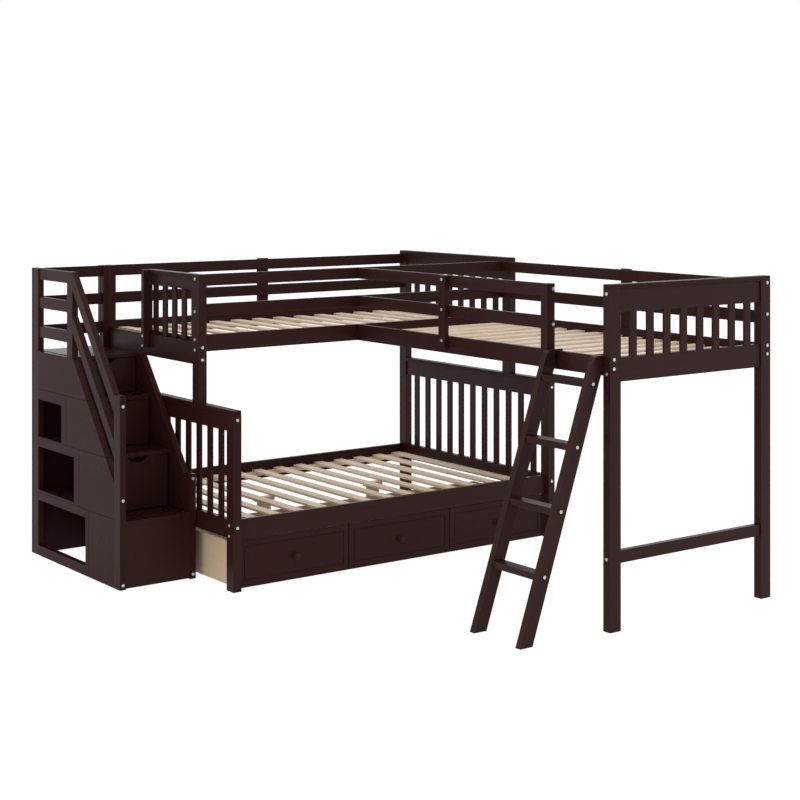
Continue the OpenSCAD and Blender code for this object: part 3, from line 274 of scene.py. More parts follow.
def plain_mesh(shape, name):
    """A mesh of a bmesh, which is freed."""
    mesh = bpy.data.meshes.new(name)
    shape.to_mesh(mesh)
    shape.free()
    return mesh


def solids_of(node):
    """The corner points of each separate solid of a node."""
    mesh = plain_mesh(merged_copy(node), "measure")
    points, _, label = islands(mesh)
    bpy.data.meshes.remove(mesh)
    return [points[label == k] for k in range(label.max() + 1)]


def boxes_of(node):
    """The lowest and highest corners of a node's solids, as two arrays (n, 3)."""
    solids = solids_of(node)
    return np.array([s.min(0) for s in solids]), np.array([s.max(0) for s in solids])


def rounded_boards(low, high, radius):
    """Boards with all edges rounded, between corners low and high (n, 3).
    On a grid of latitude q and longitude p, a point is the board's corner of that eighth, drawn in by r along
    each axis, plus r times (cos q cos p, cos q sin p, sin q). Each quarter turn of p and each half of q is
    repeated at the next corner, which leaves the flat faces between the arcs."""
    steps = bpy.context.scene.bunk_sizes.arc_steps
    arc = np.linspace(0, math.pi / 2, steps + 1)
    quarter = np.repeat(np.arange(4), steps + 1)
    p = quarter * math.pi / 2 + np.tile(arc, 4)
    half = np.repeat([-1.0, 1.0], steps + 1)
    q = np.concatenate([arc - math.pi / 2, arc])
    q_grid, p_grid = np.meshgrid(q, p, indexing="ij")
    unit = np.stack([np.cos(q_grid) * np.cos(p_grid), np.cos(q_grid) * np.sin(p_grid), np.sin(q_grid)], -1)
    sign_x = np.array([1.0, -1.0, -1.0, 1.0])[quarter]
    sign_y = np.array([1.0, 1.0, -1.0, -1.0])[quarter]
    sign = np.stack(np.broadcast_arrays(sign_x[None, :], sign_y[None, :], half[:, None]), -1)
    centre, size = (low + high) / 2, (high - low) / 2
    r = np.minimum(radius, LARGEST_ROUNDING * 2 * size.min(1))[:, None, None, None]
    points = centre[:, None, None, :] + sign * (size[:, None, None, :] - r) + r * unit
    index = np.arange(q_grid.size).reshape(q_grid.shape)
    ends = np.stack([index[0, ::-(steps + 1)], index[-1, ::steps + 1]])
    faces = np.concatenate([grid_faces(index), ends])
    return [(board.reshape(-1, 3), [faces]) for board in points]


def write_grain(mesh, name):
    """Gives each board of a mesh its own grain.
    "grain" holds a corner's place in its board: along the longest edge, across it and through the thickness,
    the first two with an offset drawn once for each board. "tone" is a number from 0 to 1 for each board.
    "cut" holds for each face how far it is an end, how far a narrow side, and whether a rounded edge."""
    points, edges, label = islands(mesh)
    count = label.max() + 1
    along = points[edges[:, 1]] - points[edges[:, 0]]
    span = np.linalg.norm(along, axis=1)
    order = np.lexsort((span, label[edges[:, 0]]))
    last = np.searchsorted(label[edges[order, 0]], np.arange(count), side="right") - 1
    grain = along[order[last]] / span[order[last]][:, None]
    low, high = label_boxes(points, label)
    thin = np.eye(3)[np.argmin(high - low, axis=1)]
    side = np.cross(thin, grain)
    draw = np.random.default_rng([ord(c) for c in name])
    offset = draw.uniform(0, GRAIN_REACH, (count, 2))
    tone = draw.uniform(0, 1, count)
    centre = (low + high) / 2
    local = points - centre[label]
    place = np.stack([(local * grain[label]).sum(1) + offset[label, 0],
                      (local * side[label]).sum(1) + offset[label, 1],
                      (local * thin[label]).sum(1)], -1)
    mesh.attributes.new("grain", "FLOAT_VECTOR", "POINT").data.foreach_set("vector", place.ravel())
    mesh.attributes.new("tone", "FLOAT", "POINT").data.foreach_set("value", tone[label])
    normal = columns(mesh.polygons, "normal", 3)
    corner = columns(mesh.loops, "vertex_index", 1, np.int32)
    board = label[corner[columns(mesh.polygons, "loop_start", 1, np.int32)]]
    lean = np.abs(np.stack([(normal * way[board]).sum(1) for way in (grain, side, thin)], -1))
    rounded = (1 - lean.max(1) > ROUNDED_FACE).astype(float)
    cut = np.stack([lean[:, 0] * (1 - rounded), lean[:, 1] * (1 - rounded), rounded], -1)
    corners = np.repeat(cut, columns(mesh.polygons, "loop_total", 1, np.int32), axis=0)
    mesh.attributes.new("cut", "FLOAT_VECTOR", "CORNER").data.foreach_set("vector", corners.ravel())


def round_long_edges(mesh, radius, inner):
    """Rounds the long sharp outward edges of a mesh and gives the result as a new mesh.
    Edges on the outline of a board's box get the radius, and all others the inner radius."""
    points, _, label = islands(mesh)
    low, high = label_boxes(points, label)
    at_limit = (np.abs(points - low[label]) < MERGE) | (np.abs(points - high[label]) < MERGE)
    shape = bmesh.new()
    shape.from_mesh(mesh)
    weight = shape.edges.layers.float.new("bevel_weight_edge")
    for edge in shape.edges:
        if edge.is_convex and edge.calc_length() > LONG_EDGE and edge.calc_face_angle(0) > SHARP_ANGLE:
            ends = [v.index for v in edge.verts]
            outer = (at_limit[ends[0]] & at_limit[ends[1]]).sum() > 1
            edge[weight] = 1.0 if outer else inner / radius
    shape.to_mesh(mesh)
    shape.free()
    form = new_object("form", mesh)
    bevel = form.modifiers.new("Rounding", "BEVEL")
    bevel.limit_method = "WEIGHT"
    bevel.width = radius
    bevel.segments = bpy.context.scene.bunk_sizes.arc_steps
    bevel.use_clamp_overlap = False
    graph = bpy.context.evaluated_depsgraph_get()
    rounded = bpy.data.meshes.new_from_object(form.evaluated_get(graph), depsgraph=graph)
    bpy.data.objects.remove(form)
    bpy.data.meshes.remove(mesh)
    return rounded


def add_plain_boards(radius, *nodes):
    """The boards of nodes that have no holes."""
    for node in nodes:
        board_piece(node, mesh_from(node, rounded_boards(*boxes_of(node), radius)))


def add_shaped_boards(radius, *nodes, inner=None):
    """The boards of nodes that are drilled, cut or slanted: their solids with rounded edges."""
    for node in nodes:
        board_piece(node, round_long_edges(plain_mesh(merged_copy(node), node), radius, inner or radius))


def angles(sides):
    """The angles of that many corners, evenly round a full turn."""
    return np.arange(sides) * 2 * math.pi / sides


def rim(radius, height, r):
    """Points of a rounded rim, from the face to the side: a quarter circle of radius r, which ends at the
    radius and starts at the height."""
    arc = np.linspace(0, math.pi / 2, RIM_POINTS)
    return [(radius - r + r * math.sin(a), height - r + r * math.cos(a)) for a in arc]


def turned(radii, heights, sides, closed=False):
    """A profile of radii and heights turned about Z: point i at angle a is (r cos a, r sin a, h).
    Radii and heights may also be rows with one value per angle. A closed profile joins its ends."""
    angle = angles(sides)
    grid = (len(heights), sides)
    radii, heights = (np.broadcast_to(np.reshape(v, (len(v), -1)), grid) for v in (radii, heights))
    points = np.stack([radii * np.cos(angle), radii * np.sin(angle), heights], -1)
    index = np.arange(points.size // 3).reshape(grid)
    if closed:
        index = np.vstack([index, index[:1]])
    return points.reshape(-1, 3), [grid_faces(index)]


def set_along(part, origin, axis):
    """A part with its Z turned to a main axis and its origin moved. The other axes follow in cyclic order."""
    points, faces = part
    way = int(np.argmax(np.abs(axis)))
    turn = np.zeros((3, 3))
    turn[2] = axis
    turn[0, (way + 1) % 3] = 1.0
    turn[1] = np.cross(turn[2], turn[0])
    return points @ turn + np.asarray(origin), faces


def smooth_curve(knots, per_span):
    """A curve through the knots: between two of them, the cubic whose end slopes are half the step from the
    knot before to the knot after."""
    knots = np.asarray(knots, float)
    padded = np.vstack([2 * knots[0] - knots[1], knots, 2 * knots[-1] - knots[-2]])
    t = np.linspace(0, 1, per_span, endpoint=False)[None, :, None]
    a, b, c, d = (padded[k:len(padded) - 3 + k][:, None, :] for k in range(4))
    spans = 2 * b + (c - a) * t + (2 * a - 5 * b + 4 * c - d) * t ** 2 + (3 * b - a - 3 * c + d) * t ** 3
    return np.vstack([0.5 * spans.reshape(-1, knots.shape[1]), knots[-1:]])


def carried(profile, start, end):
    """A closed profile of X and Z, carried straight along Y and closed by a face at each end."""
    count = len(profile)
    rings = np.array([[start], [end]])
    points = np.stack([np.tile(profile[:, 0], 2), np.repeat(rings, count), np.tile(profile[:, 1], 2)], -1)
    near = np.arange(count)
    sides = np.stack([near, np.roll(near, -1), np.roll(near, -1) + count, near + count], -1)
    return points, [sides, near[None, ::-1], near[None, :] + count]


# ---- Fittings ----
def bolt(points, sizes):
    """A bolt on the place of the solid with these corner points.
    The profile runs from the middle of the socket's floor over its rim, the rounded head and the seat to the
    tip. The socket's rows are hexagons: at angle a within a sixth of a turn, the radius is the one at the
    corners times cos 30 over cos (a - 30)."""
    low, high = points.min(0), points.max(0)
    way = int(np.argmax(high - low))
    centre = (low + high) / 2
    across = np.delete(points - centre, way, axis=1)
    distance = np.linalg.norm(across, axis=1)
    head_r = distance.max()
    edge = points[distance > ON_RIM * head_r, way]
    direction = 1.0 if edge.mean() < centre[way] else -1.0
    seat = edge.max() if direction > 0 else edge.min()
    head = edge.max() - edge.min()
    tip = high[way] if direction > 0 else low[way]
    shank = abs(tip - seat)
    shank_r = distance[np.abs(points[:, way] - tip) < MERGE].max()
    hexagon = math.cos(math.pi / 6) / np.cos(angles(ROD_SIDES) % (math.pi / 3) - math.pi / 6)
    socket, floor = sizes.socket_width / 2, sizes.socket_depth - head
    inside = [(0, floor), (socket * SOCKET_TAPER, floor), (socket, LIP_DROP - head),
              (socket + LIP_WIDTH, -head)]
    outside = [(x, -z) for x, z in rim(head_r, head, sizes.head_round)] + [
        (head_r, 0), (shank_r, 0), (shank_r, shank - shank_r / 3), (shank_r * TIP_SHARE, shank), (0, shank)]
    radii = [r * hexagon for r, _ in inside] + [np.full(ROD_SIDES, float(r)) for r, _ in outside]
    axis = np.zeros(3)
    axis[way] = direction
    origin = centre.copy()
    origin[way] = seat
    return set_along(turned(radii, [h for _, h in inside + outside], ROD_SIDES), origin, axis)


def slide_part(low, high, web_side, sizes):
    """A rolled steel channel in a box: a web on one side, two flanges, and lips along its mouth."""
    depth, height = high[0] - low[0], high[2] - low[2]
    wall, lip = sizes.slide_wall, sizes.slide_lip
    half = np.array([(0, 0), (depth, 0), (depth, lip), (depth - wall, lip), (depth - wall, wall),
                     (wall, wall)])
    other = np.stack([half[::-1, 0], height - half[::-1, 1]], -1)
    outline = np.vstack([half, other])
    x = low[0] + outline[:, 0] if web_side < 0 else high[0] - outline[:, 0]
    return carried(np.stack([x, low[2] + outline[:, 1]], -1), low[1], high[1])


def wheel(radius, width, bore, sizes):
    """A moulded wheel about Z, centred on its width: hub, hollow webs with six ribs, and a rounded tread.
    The web's depth drops to nothing on the ribs, where the cosine of six times the angle is near one."""
    ribs, rib_edge, rib_slope, rib_fill = 6, 0.86, 0.08, 0.7
    rib = np.clip((np.cos(ribs * angles(WHEEL_SIDES)) - rib_edge) / rib_slope, 0, 1)
    half, web = width / 2, width / 2 - sizes.wheel_web * (1 - rib_fill * rib)
    hub, web_start, web_end, tread = (share * radius for share in (0.36, 0.40, 0.78, 0.82))
    face = [(bore, half), (hub, half), (web_start, web), (web_end, web), (tread, half)]
    face += rim(radius, half, sizes.wheel_round)
    rows = face + [(r, -height) for r, height in reversed(face)]
    heights = np.array([np.broadcast_to(height, WHEEL_SIDES) for _, height in rows])
    return turned([r for r, _ in rows], heights, WHEEL_SIDES, closed=True)


def rod(radius, start, end):
    """A round rod along Z with chamfered ends."""
    chamfer = radius * 0.2
    radii = (0, radius - chamfer, radius, radius, radius - chamfer, 0)
    heights = (start, start, start + chamfer, end - chamfer, end, end)
    return turned(radii, heights, ROD_SIDES)


# ---- Node groups and materials ----
class Nodes:
    """Adds nodes to a tree: inputs are joined to sockets or set to values."""

    def __init__(self, tree):
        self.tree = tree

    def add(self, kind, inputs=None, **settings):
        node = self.tree.nodes.new(kind)
        for name, value in settings.items():
            setattr(node, name, value)
        for name, value in (inputs or {}).items():
            if isinstance(value, bpy.types.NodeSocket):
                self.tree.links.new(value, node.inputs[name])
            else:
                node.inputs[name].default_value = value
        return node

    def group(self, name, inputs):
        return self.add("ShaderNodeGroup", inputs, node_tree=group_of(name)).outputs

    def math(self, operation, a, b=0.0, clamp=False):
        return self.add("ShaderNodeMath", {0: a, 1: b}, operation=operation, use_clamp=clamp).outputs[0]

    def total(self, *shares, clamp=False):
        """The sum of sockets, each times its share."""
        parts = [self.math("MULTIPLY", socket, share) for socket, share in shares]
        value = parts[0]
        for part in parts[1:]:
            value = self.math("ADD", value, part, clamp and part is parts[-1])
        return value

    def scaled(self, vector, scale):
        return self.add("ShaderNodeVectorMath", {0: vector, 1: scale}, operation="MULTIPLY").outputs[0]

    def noise(self, vector, scale, detail=2.0, roughness=0.5):
        return self.add("ShaderNodeTexNoise", {"Vector": vector, "Scale": scale, "Detail": detail,
                                               "Roughness": roughness}).outputs["Fac"]

    def ramp(self, value, low=0.0, high=1.0, to_low=0.0, to_high=1.0):
        return self.add("ShaderNodeMapRange", {"Value": value, "From Min": low, "From Max": high,
                                               "To Min": to_low, "To Max": to_high}).outputs[0]

    def mix(self, factor, a, b):
        """A blend of two colours, each a socket or three numbers. Sockets 6 and 7 are the node's colours."""
        a, b = (v if isinstance(v, bpy.types.NodeSocket) else (*v, 1.0) for v in (a, b))
        return self.add("ShaderNodeMix", {0: factor, 6: a, 7: b}, data_type="RGBA").outputs[2]


def empty_tree(owner):
    """Clears the nodes of a material or a world, and gives a maker of new ones."""
    owner.use_nodes = True
    owner.node_tree.nodes.clear()
    return Nodes(owner.node_tree)


def wood_grain(make, given):
    """Wood grain in a board's own coordinates: wide streaks, fine fibres and short pores along the board."""
    sway = make.noise(make.scaled(given["Grain"], (1.6, 5.0, 5.0)), 1.0)
    bent = make.add("ShaderNodeCombineXYZ", {"Y": make.math("MULTIPLY", sway, 0.03)}).outputs[0]
    place = make.add("ShaderNodeVectorMath", {0: given["Grain"], 1: bent}, operation="ADD").outputs[0]
    wide = make.math("DIVIDE", 1.0, given["Streak Width"])
    fine = make.math("DIVIDE", 1.0, given["Fibre Width"])
    streaks = make.noise(make.scaled(place, (0.06, 1.0, 1.0)), wide, 4.0, 0.6)
    fibres = make.noise(make.scaled(place, (0.03, 1.0, 1.0)), fine, 3.0, 0.65)
    pores = make.noise(make.scaled(place, (0.05, 1.0, 1.0)), make.math("MULTIPLY", fine, 2.2), 1.0)
    return {"Streaks": make.ramp(streaks, 0.3, 0.7), "Fibres": make.ramp(fibres, 0.3, 0.7),
            "Pores": make.ramp(pores, 0.60, 0.72)}


def growth_rings(make, given):
    """Growth rings of a sawn softwood board: bands across the board that sway along it, bent round knots."""
    grain = given["Grain"]
    cells = {"Vector": make.scaled(grain, (1.0, 4.0, 4.0)), "Scale": 1.7, "Randomness": 1.0}
    near = make.add("ShaderNodeTexVoronoi", cells).outputs["Distance"]
    push = make.ramp(near, 0.26, 0.0, 0.0, 0.012)
    sway = make.noise(make.scaled(grain, (1.1, 9.0, 9.0)), 1.0)
    across = make.add("ShaderNodeSeparateXYZ", {0: grain}).outputs["Y"]
    moved = make.math("ADD", across, make.math("MULTIPLY", sway, 0.055))
    moved = make.math("ADD", moved, push)
    saw = make.math("FRACT", make.math("DIVIDE", moved, given["Ring Width"]))
    rise = make.ramp(saw, 0.25, 0.86)
    fall = make.ramp(saw, 0.90, 1.0, 1.0, 0.0)
    return {"Late Wood": make.math("MULTIPLY", rise, fall), "Knot": make.ramp(near, 0.045, 0.022)}


def board_edges(make, given):
    """Marks of use on a board's faces: rounded edges sanded thin in patches, and end grain."""
    parts = make.add("ShaderNodeSeparateXYZ", {0: given["Cut"]}).outputs
    patches = make.noise(make.scaled(given["Grain"], (9.0, 40.0, 40.0)), 1.0, 3.0)
    sanded = make.math("MULTIPLY", parts["Z"], make.ramp(patches, 0.35, 0.75, 0.15, 1.0))
    return {"Sanded": sanded, "End": make.ramp(parts["X"], 0.6, 0.9),
            "Narrow": make.ramp(parts["Y"], 0.6, 0.9)}


def handling(make, given):
    """Slow changes of gloss over a surface, from wiping and handling, with faint specks of dust."""
    clouds = make.noise(given["Place"], make.math("DIVIDE", 1.0, given["Size"]), 4.0, 0.6)
    specks = make.noise(given["Place"], 900.0, 1.0)
    return {"Clouds": make.ramp(clouds, 0.25, 0.75), "Specks": make.ramp(specks, 0.68, 0.80)}


# For each node group that the finishes share: the function that fills it, and its inputs
GROUPS = {
    "Wood grain": (wood_grain, {"Grain": (0, 0, 0), "Streak Width": 0.02, "Fibre Width": 0.002}),
    "Growth rings": (growth_rings, {"Grain": (0, 0, 0), "Ring Width": 0.008}),
    "Board edges": (board_edges, {"Cut": (0, 0, 0), "Grain": (0, 0, 0)}),
    "Handling": (handling, {"Place": (0, 0, 0), "Size": 0.2}),
}


def group_of(name):
    """One of the shared node groups, made when it is first asked for.
    An input is a vector where its default is a triple. All other inputs, and the outputs, are numbers."""
    if name in bpy.data.node_groups:
        return bpy.data.node_groups[name]
    fill, inputs = GROUPS[name]
    tree = bpy.data.node_groups.new(name, "ShaderNodeTree")
    for label, default in inputs.items():
        kind = "NodeSocketVector" if isinstance(default, tuple) else "NodeSocketFloat"
        tree.interface.new_socket(label, in_out="INPUT", socket_type=kind).default_value = default
    filled = fill(Nodes(tree), tree.nodes.new("NodeGroupInput").outputs)
    for label in filled:
        tree.interface.new_socket(label, in_out="OUTPUT", socket_type="NodeSocketFloat")
    Nodes(tree).add("NodeGroupOutput", filled)
    return tree


def new_material(name):
    """A new material with one Principled shader: gives the maker of its nodes and the shader."""
    make = empty_tree(bpy.data.materials.new(name))
    shader = make.add("ShaderNodeBsdfPrincipled")
    make.add("ShaderNodeOutputMaterial", {"Surface": shader.outputs["BSDF"]})
    return make, shader


def board_material(name, streak_width, fibre_width):
    """A new material for boards: the maker of its nodes, its shader, and the sockets of its pattern, by name:
    the board's grain and tone, and the outputs of the groups for grain, edges and handling."""
    make, shader = new_material(name)
    grain = make.add("ShaderNodeAttribute", attribute_name="grain").outputs["Vector"]
    tone = make.add("ShaderNodeAttribute", attribute_name="tone").outputs["Fac"]
    cut = make.add("ShaderNodeAttribute", attribute_name="cut").outputs["Vector"]
    place = make.add("ShaderNodeTexCoord").outputs["Object"]
    board = {"Grain": grain, "Tone": tone}
    board.update(make.group("Board edges", {"Cut": cut, "Grain": grain}).items())
    board.update(make.group("Handling", {"Place": place, "Size": 0.25}).items())
    widths = {"Streak Width": streak_width, "Fibre Width": fibre_width}
    board.update(make.group("Wood grain", {"Grain": grain, **widths}).items())
    return make, shader, board


def join(make, shader, base, rough, height, strength, distance, sheen=0.5):
    """Joins a finish to its shader: colour, roughness and the height of its bump."""
    bump = make.add("ShaderNodeBump", {"Height": height, "Strength": strength, "Distance": distance})
    make.tree.links.new(base, shader.inputs["Base Color"])
    make.tree.links.new(rough, shader.inputs["Roughness"])
    make.tree.links.new(bump.outputs["Normal"], shader.inputs["Normal"])
    shader.inputs["Specular IOR Level"].default_value = sheen


def stained_wood(name, finishes, sheen):
    """Espresso stain on solid wood: darker in pores and streaks, thin on the sanded edges, satin lacquer."""
    make, shader, board = board_material(name, 0.022, 0.0022)
    deep = make.total((board["Streaks"], 0.38), (board["Tone"], 0.14), (board["Pores"], 0.25),
                      (board["End"], 0.15), clamp=True)
    base = make.mix(deep, finishes.stain, finishes.stain_deep)
    base = make.mix(make.math("MULTIPLY", board["Sanded"], 0.55), base, finishes.stain_thin)
    rough = make.ramp(board["Clouds"], to_low=0.27, to_high=0.37)
    rough = make.math("ADD", rough, make.math("MULTIPLY", board["Fibres"], 0.06))
    height = make.math("SUBTRACT", make.math("MULTIPLY", board["Fibres"], 0.5), board["Pores"])
    join(make, shader, base, rough, height, strength=0.28, distance=0.00012, sheen=sheen)


def stained_panel(name, finishes, sheen):
    """Espresso finish on flat panels and drawer fronts: closer, with a trace of grain and a little sheen."""
    make, shader, board = board_material(name, 0.045, 0.0030)
    deep = make.total((board["Streaks"], 0.24), (board["Tone"], 0.08), (board["Pores"], 0.10), clamp=True)
    base = make.mix(deep, finishes.panel, finishes.stain_deep)
    base = make.mix(make.math("MULTIPLY", board["Sanded"], 0.4), base, finishes.stain_thin)
    rough = make.ramp(board["Clouds"], to_low=0.25, to_high=0.33)
    rough = make.math("ADD", rough, make.math("MULTIPLY", board["Specks"], 0.08))
    height = make.math("ADD", make.math("MULTIPLY", board["Fibres"], 0.6), board["Specks"])
    join(make, shader, base, rough, height, strength=0.15, distance=0.00008, sheen=sheen)


def bare_pine(name, finishes):
    """Planed pine without a finish: growth rings, fibres, a few knots and darker end grain."""
    make, shader, board = board_material(name, 0.03, 0.0016)
    rings = make.group("Growth rings", {"Grain": board["Grain"], "Ring Width": 0.0075})
    late = make.total((rings["Late Wood"], 0.34), (board["Fibres"], 0.14), (board["Tone"], 0.26),
                      (board["End"], 0.3), clamp=True)
    base = make.mix(late, finishes.pine, finishes.pine_late)
    base = make.mix(make.math("MULTIPLY", rings["Knot"], 0.75), base, finishes.knot)
    rough = make.ramp(board["Fibres"], to_low=0.58, to_high=0.70)
    height = make.math("SUBTRACT", make.math("MULTIPLY", board["Fibres"], 0.6), rings["Late Wood"])
    join(make, shader, base, rough, height, strength=0.3, distance=0.00015, sheen=0.35)


def birch_ply(name, finishes):
    """Birch plywood: calm pale faces, and narrow sides that show the plies.
    The plies are bands through the thickness, from the third part of the grain coordinates."""
    ply_pair = 0.0026      # thickness of a light ply and a dark one together
    make, shader, board = board_material(name, 0.05, 0.0012)
    through = make.add("ShaderNodeSeparateXYZ", {0: board["Grain"]}).outputs["Z"]
    band = make.math("SINE", make.math("MULTIPLY", through, 2 * math.pi / ply_pair))
    on_side = make.math("MAXIMUM", board["End"], board["Narrow"])
    plies = make.math("MULTIPLY", make.ramp(band, -0.3, 0.3), on_side)
    deep = make.total((board["Streaks"], 0.16), (board["Pores"], 0.12), (board["Tone"], 0.10), (plies, 0.6),
                      clamp=True)
    base = make.mix(deep, finishes.ply, finishes.ply_dark)
    rough = make.ramp(board["Fibres"], to_low=0.50, to_high=0.62)
    height = make.math("SUBTRACT", make.math("MULTIPLY", board["Fibres"], 0.4), plies)
    join(make, shader, base, rough, height, strength=0.25, distance=0.00012)


def plated_metal(name, finishes, tint, smooth, dull, rolled=False):
    """Bright metal: clouds of plating, with fine lines along the part where it is rolled."""
    make, shader = new_material(name)
    place = make.add("ShaderNodeTexCoord").outputs["Object"]
    clouds = make.group("Handling", {"Place": place, "Size": 0.012})["Clouds"]
    lines = make.noise(make.scaled(place, (900.0, 12.0, 900.0) if rolled else (500.0, 500.0, 500.0)), 1.0)
    bright = getattr(finishes, tint)
    base = make.mix(make.ramp(clouds, to_high=0.3), bright, [c * 0.62 for c in bright])
    rough = make.ramp(clouds, to_low=smooth, to_high=dull)
    rough = make.math("ADD", rough, make.math("MULTIPLY", lines, 0.08))
    join(make, shader, base, rough, lines, strength=0.2, distance=0.00005)
    shader.inputs["Metallic"].default_value = 1.0


def moulded_nylon(name, finishes):
    """Black nylon with a fine moulded texture, duller and paler where it has rolled."""
    make, shader = new_material(name)
    place = make.add("ShaderNodeTexCoord").outputs["Object"]
    clouds = make.group("Handling", {"Place": place, "Size": 0.02})["Clouds"]
    worn = make.ramp(clouds, 0.3, 0.9, to_high=0.5)
    base = make.mix(worn, finishes.nylon, finishes.nylon_worn)
    rough = make.ramp(worn, high=0.5, to_low=0.42, to_high=0.60)
    join(make, shader, base, rough, make.noise(place, 1400.0), strength=0.2, distance=0.00006)


# For each slot of the record, and for a few parts apart: the finish's name, the function that makes it, and
# the values that this needs
FINISHES = {
    "espresso_wood": ("Stained wood", stained_wood, {"sheen": 0.12}),
    # A copy of the stained wood with less sheen: painted shade on the staircase's posts, guards and handrails
    # and on the cap boards
    "painted_shade_wood": ("Duller stained wood", stained_wood, {"sheen": 0.075}),
    "espresso_panel": ("Stained panel", stained_panel, {"sheen": 0.09}),
    # A copy of the stained panel with less sheen: painted shade on the staircase's sides
    "painted_shade_panel": ("Duller stained panel", stained_panel, {"sheen": 0.045}),
    "pine": ("Bare pine", bare_pine, {}),
    "plywood": ("Birch plywood", birch_ply, {}),
    "steel": ("Zinc plated steel", plated_metal, {"tint": "zinc", "smooth": 0.26, "dull": 0.40}),
    "slide_steel": ("Slide steel", plated_metal,
                    {"tint": "slide", "smooth": 0.22, "dull": 0.34, "rolled": True}),
    "black_steel": ("Black steel", plated_metal, {"tint": "black", "smooth": 0.30, "dull": 0.42}),
    "black_plastic": ("Black nylon", moulded_nylon, {}),
}


def finish_of(finish):
    """The material of one of the finishes, made when it is first asked for."""
    name, make_finish, options = FINISHES[finish]
    if name not in bpy.data.materials:
        make_finish(name, bpy.context.scene.bunk_finishes, **options)
    return bpy.data.materials[name]


# ---- Operators ----
class BUNK_OT_posts(Operator):
    """Builds the posts of the beds and the staircase, with their bolt holes"""

    bl_idname = "bunk.posts"
    bl_label = "Posts"

    def execute(self, context):
        add_shaped_boards(context.scene.bunk_sizes.post_round, *POSTS)
        return {"FINISHED"}


class BUNK_OT_rails(Operator):
    """Builds the rails and guards, with the holes for bolts and barrel nuts"""

    bl_idname = "bunk.rails"
    bl_label = "Rails and Guards"

    def execute(self, context):
        add_shaped_boards(context.scene.bunk_sizes.rail_round, *DRILLED_RAILS)
        return {"FINISHED"}


class BUNK_OT_end_panels(Operator):
    """Builds the cap boards and the spindles of the end panels"""

    bl_idname = "bunk.end_panels"
    bl_label = "Caps and Spindles"

    def execute(self, context):
        sizes = context.scene.bunk_sizes
        add_plain_boards(sizes.cap_round, "end_caps")
        add_plain_boards(sizes.spindle_round, *SPINDLES)
        return {"FINISHED"}


class BUNK_OT_slats(Operator):
    """Builds the slats, their ledges and the centre legs"""

    bl_idname = "bunk.slats"
    bl_label = "Slats"

    def execute(self, context):
        add_plain_boards(context.scene.bunk_sizes.slat_round, *SLATS, *SUPPORTS)
        return {"FINISHED"}


class BUNK_OT_bolts(Operator):
    """Builds the bolts with their hexagon sockets, and the barrel nuts"""

    bl_idname = "bunk.bolts"
    bl_label = "Bolts and Nuts"

    def execute(self, context):
        sizes = context.scene.bunk_sizes
        mesh = mesh_from("frame_bolts_turned", [bolt(points, sizes) for points in solids_of("frame_bolts")])
        new_piece("frame_bolts", mesh, "steel")
        new_piece("barrel_nuts", plain_mesh(merged_copy("barrel_nuts"), "barrel_nuts_turned"), "steel")
        return {"FINISHED"}


class BUNK_OT_staircase(Operator):
    """Builds the treads, the thin boards, the handrails and the guards of the staircase"""

    bl_idname = "bunk.staircase"
    bl_label = "Staircase"

    def execute(self, context):
        sizes = context.scene.bunk_sizes
        add_plain_boards(sizes.tread_round, "stair_treads")
        add_plain_boards(sizes.panel_round, *STAIR_PANELS)
        add_plain_boards(sizes.rail_round, "stair_guards")
        add_shaped_boards(sizes.rail_round, "stair_handrails")
        return {"FINISHED"}


def keep_side(shape, place, way):
    """Cuts a bmesh by the plane through a place, clears what lies on the way's side and closes the cut."""
    cut = bmesh.ops.bisect_plane(shape, geom=shape.verts[:] + shape.edges[:] + shape.faces[:], dist=ON_PLANE,
                                 plane_co=place, plane_no=way, clear_outer=True)
    bmesh.ops.edgeloop_fill(shape, edges=[e for e in cut["geom_cut"] if isinstance(e, bmesh.types.BMEdge)])


class BUNK_OT_stair_sides(Operator):
    """Builds the sides of the staircase, the left one from seven boards with fine joints between them"""

    bl_idname = "bunk.stair_sides"
    bl_label = "Stair Sides"
    joint_leads = (0.019, 0.038, 0.038)     # from each upright joint to the divider behind it

    def execute(self, context):
        sizes = context.scene.bunk_sizes
        half, count = sizes.joint_gap / 2, len(self.joint_leads)
        levels = np.sort(boxes_of("stair_treads")[1][:, 2])[:count] + sizes.joint_lift
        fronts = np.sort(boxes_of("stair_dividers")[0][:, 1])[:count] - np.array(self.joint_leads)
        whole = bmesh.new()
        for band in range(count + 1):
            for way in ((1, -1) if band < count else (0,)):
                board = merged_copy("stair_left_side")
                if band > 0:
                    keep_side(board, (0, 0, levels[band - 1] + half), (0, 0, -1))
                if band < count:
                    keep_side(board, (0, 0, levels[band] - half), (0, 0, 1))
                    keep_side(board, (0, fronts[band] - way * half, 0), (0, way, 0))
                mesh = plain_mesh(board, "board")
                whole.from_mesh(mesh)
                bpy.data.meshes.remove(mesh)
        mesh = plain_mesh(whole, "stair_left_side")
        board_piece("stair_left_side", round_long_edges(mesh, sizes.panel_round, sizes.panel_round))
        add_shaped_boards(sizes.panel_round, "stair_right_side")
        return {"FINISHED"}


class BUNK_OT_slides(Operator):
    """Builds the steel slides of the staircase's drawers"""

    bl_idname = "bunk.slides"
    bl_label = "Drawer Slides"

    def execute(self, context):
        sizes = context.scene.bunk_sizes
        for node in ["stair_slides"] + [step + "_slides" for step in STEPS]:
            low, high = boxes_of(node)
            middle = (low[:, 0].min() + high[:, 0].max()) / 2
            left = (low[:, 0] + high[:, 0]) / 2 < middle
            sides = np.where(left == (node == "stair_slides"), -1, 1)
            mesh = mesh_from(node + "_rolled", [slide_part(*box, sizes) for box in zip(low, high, sides)])
            new_piece(node, mesh, "slide_steel")
        return {"FINISHED"}


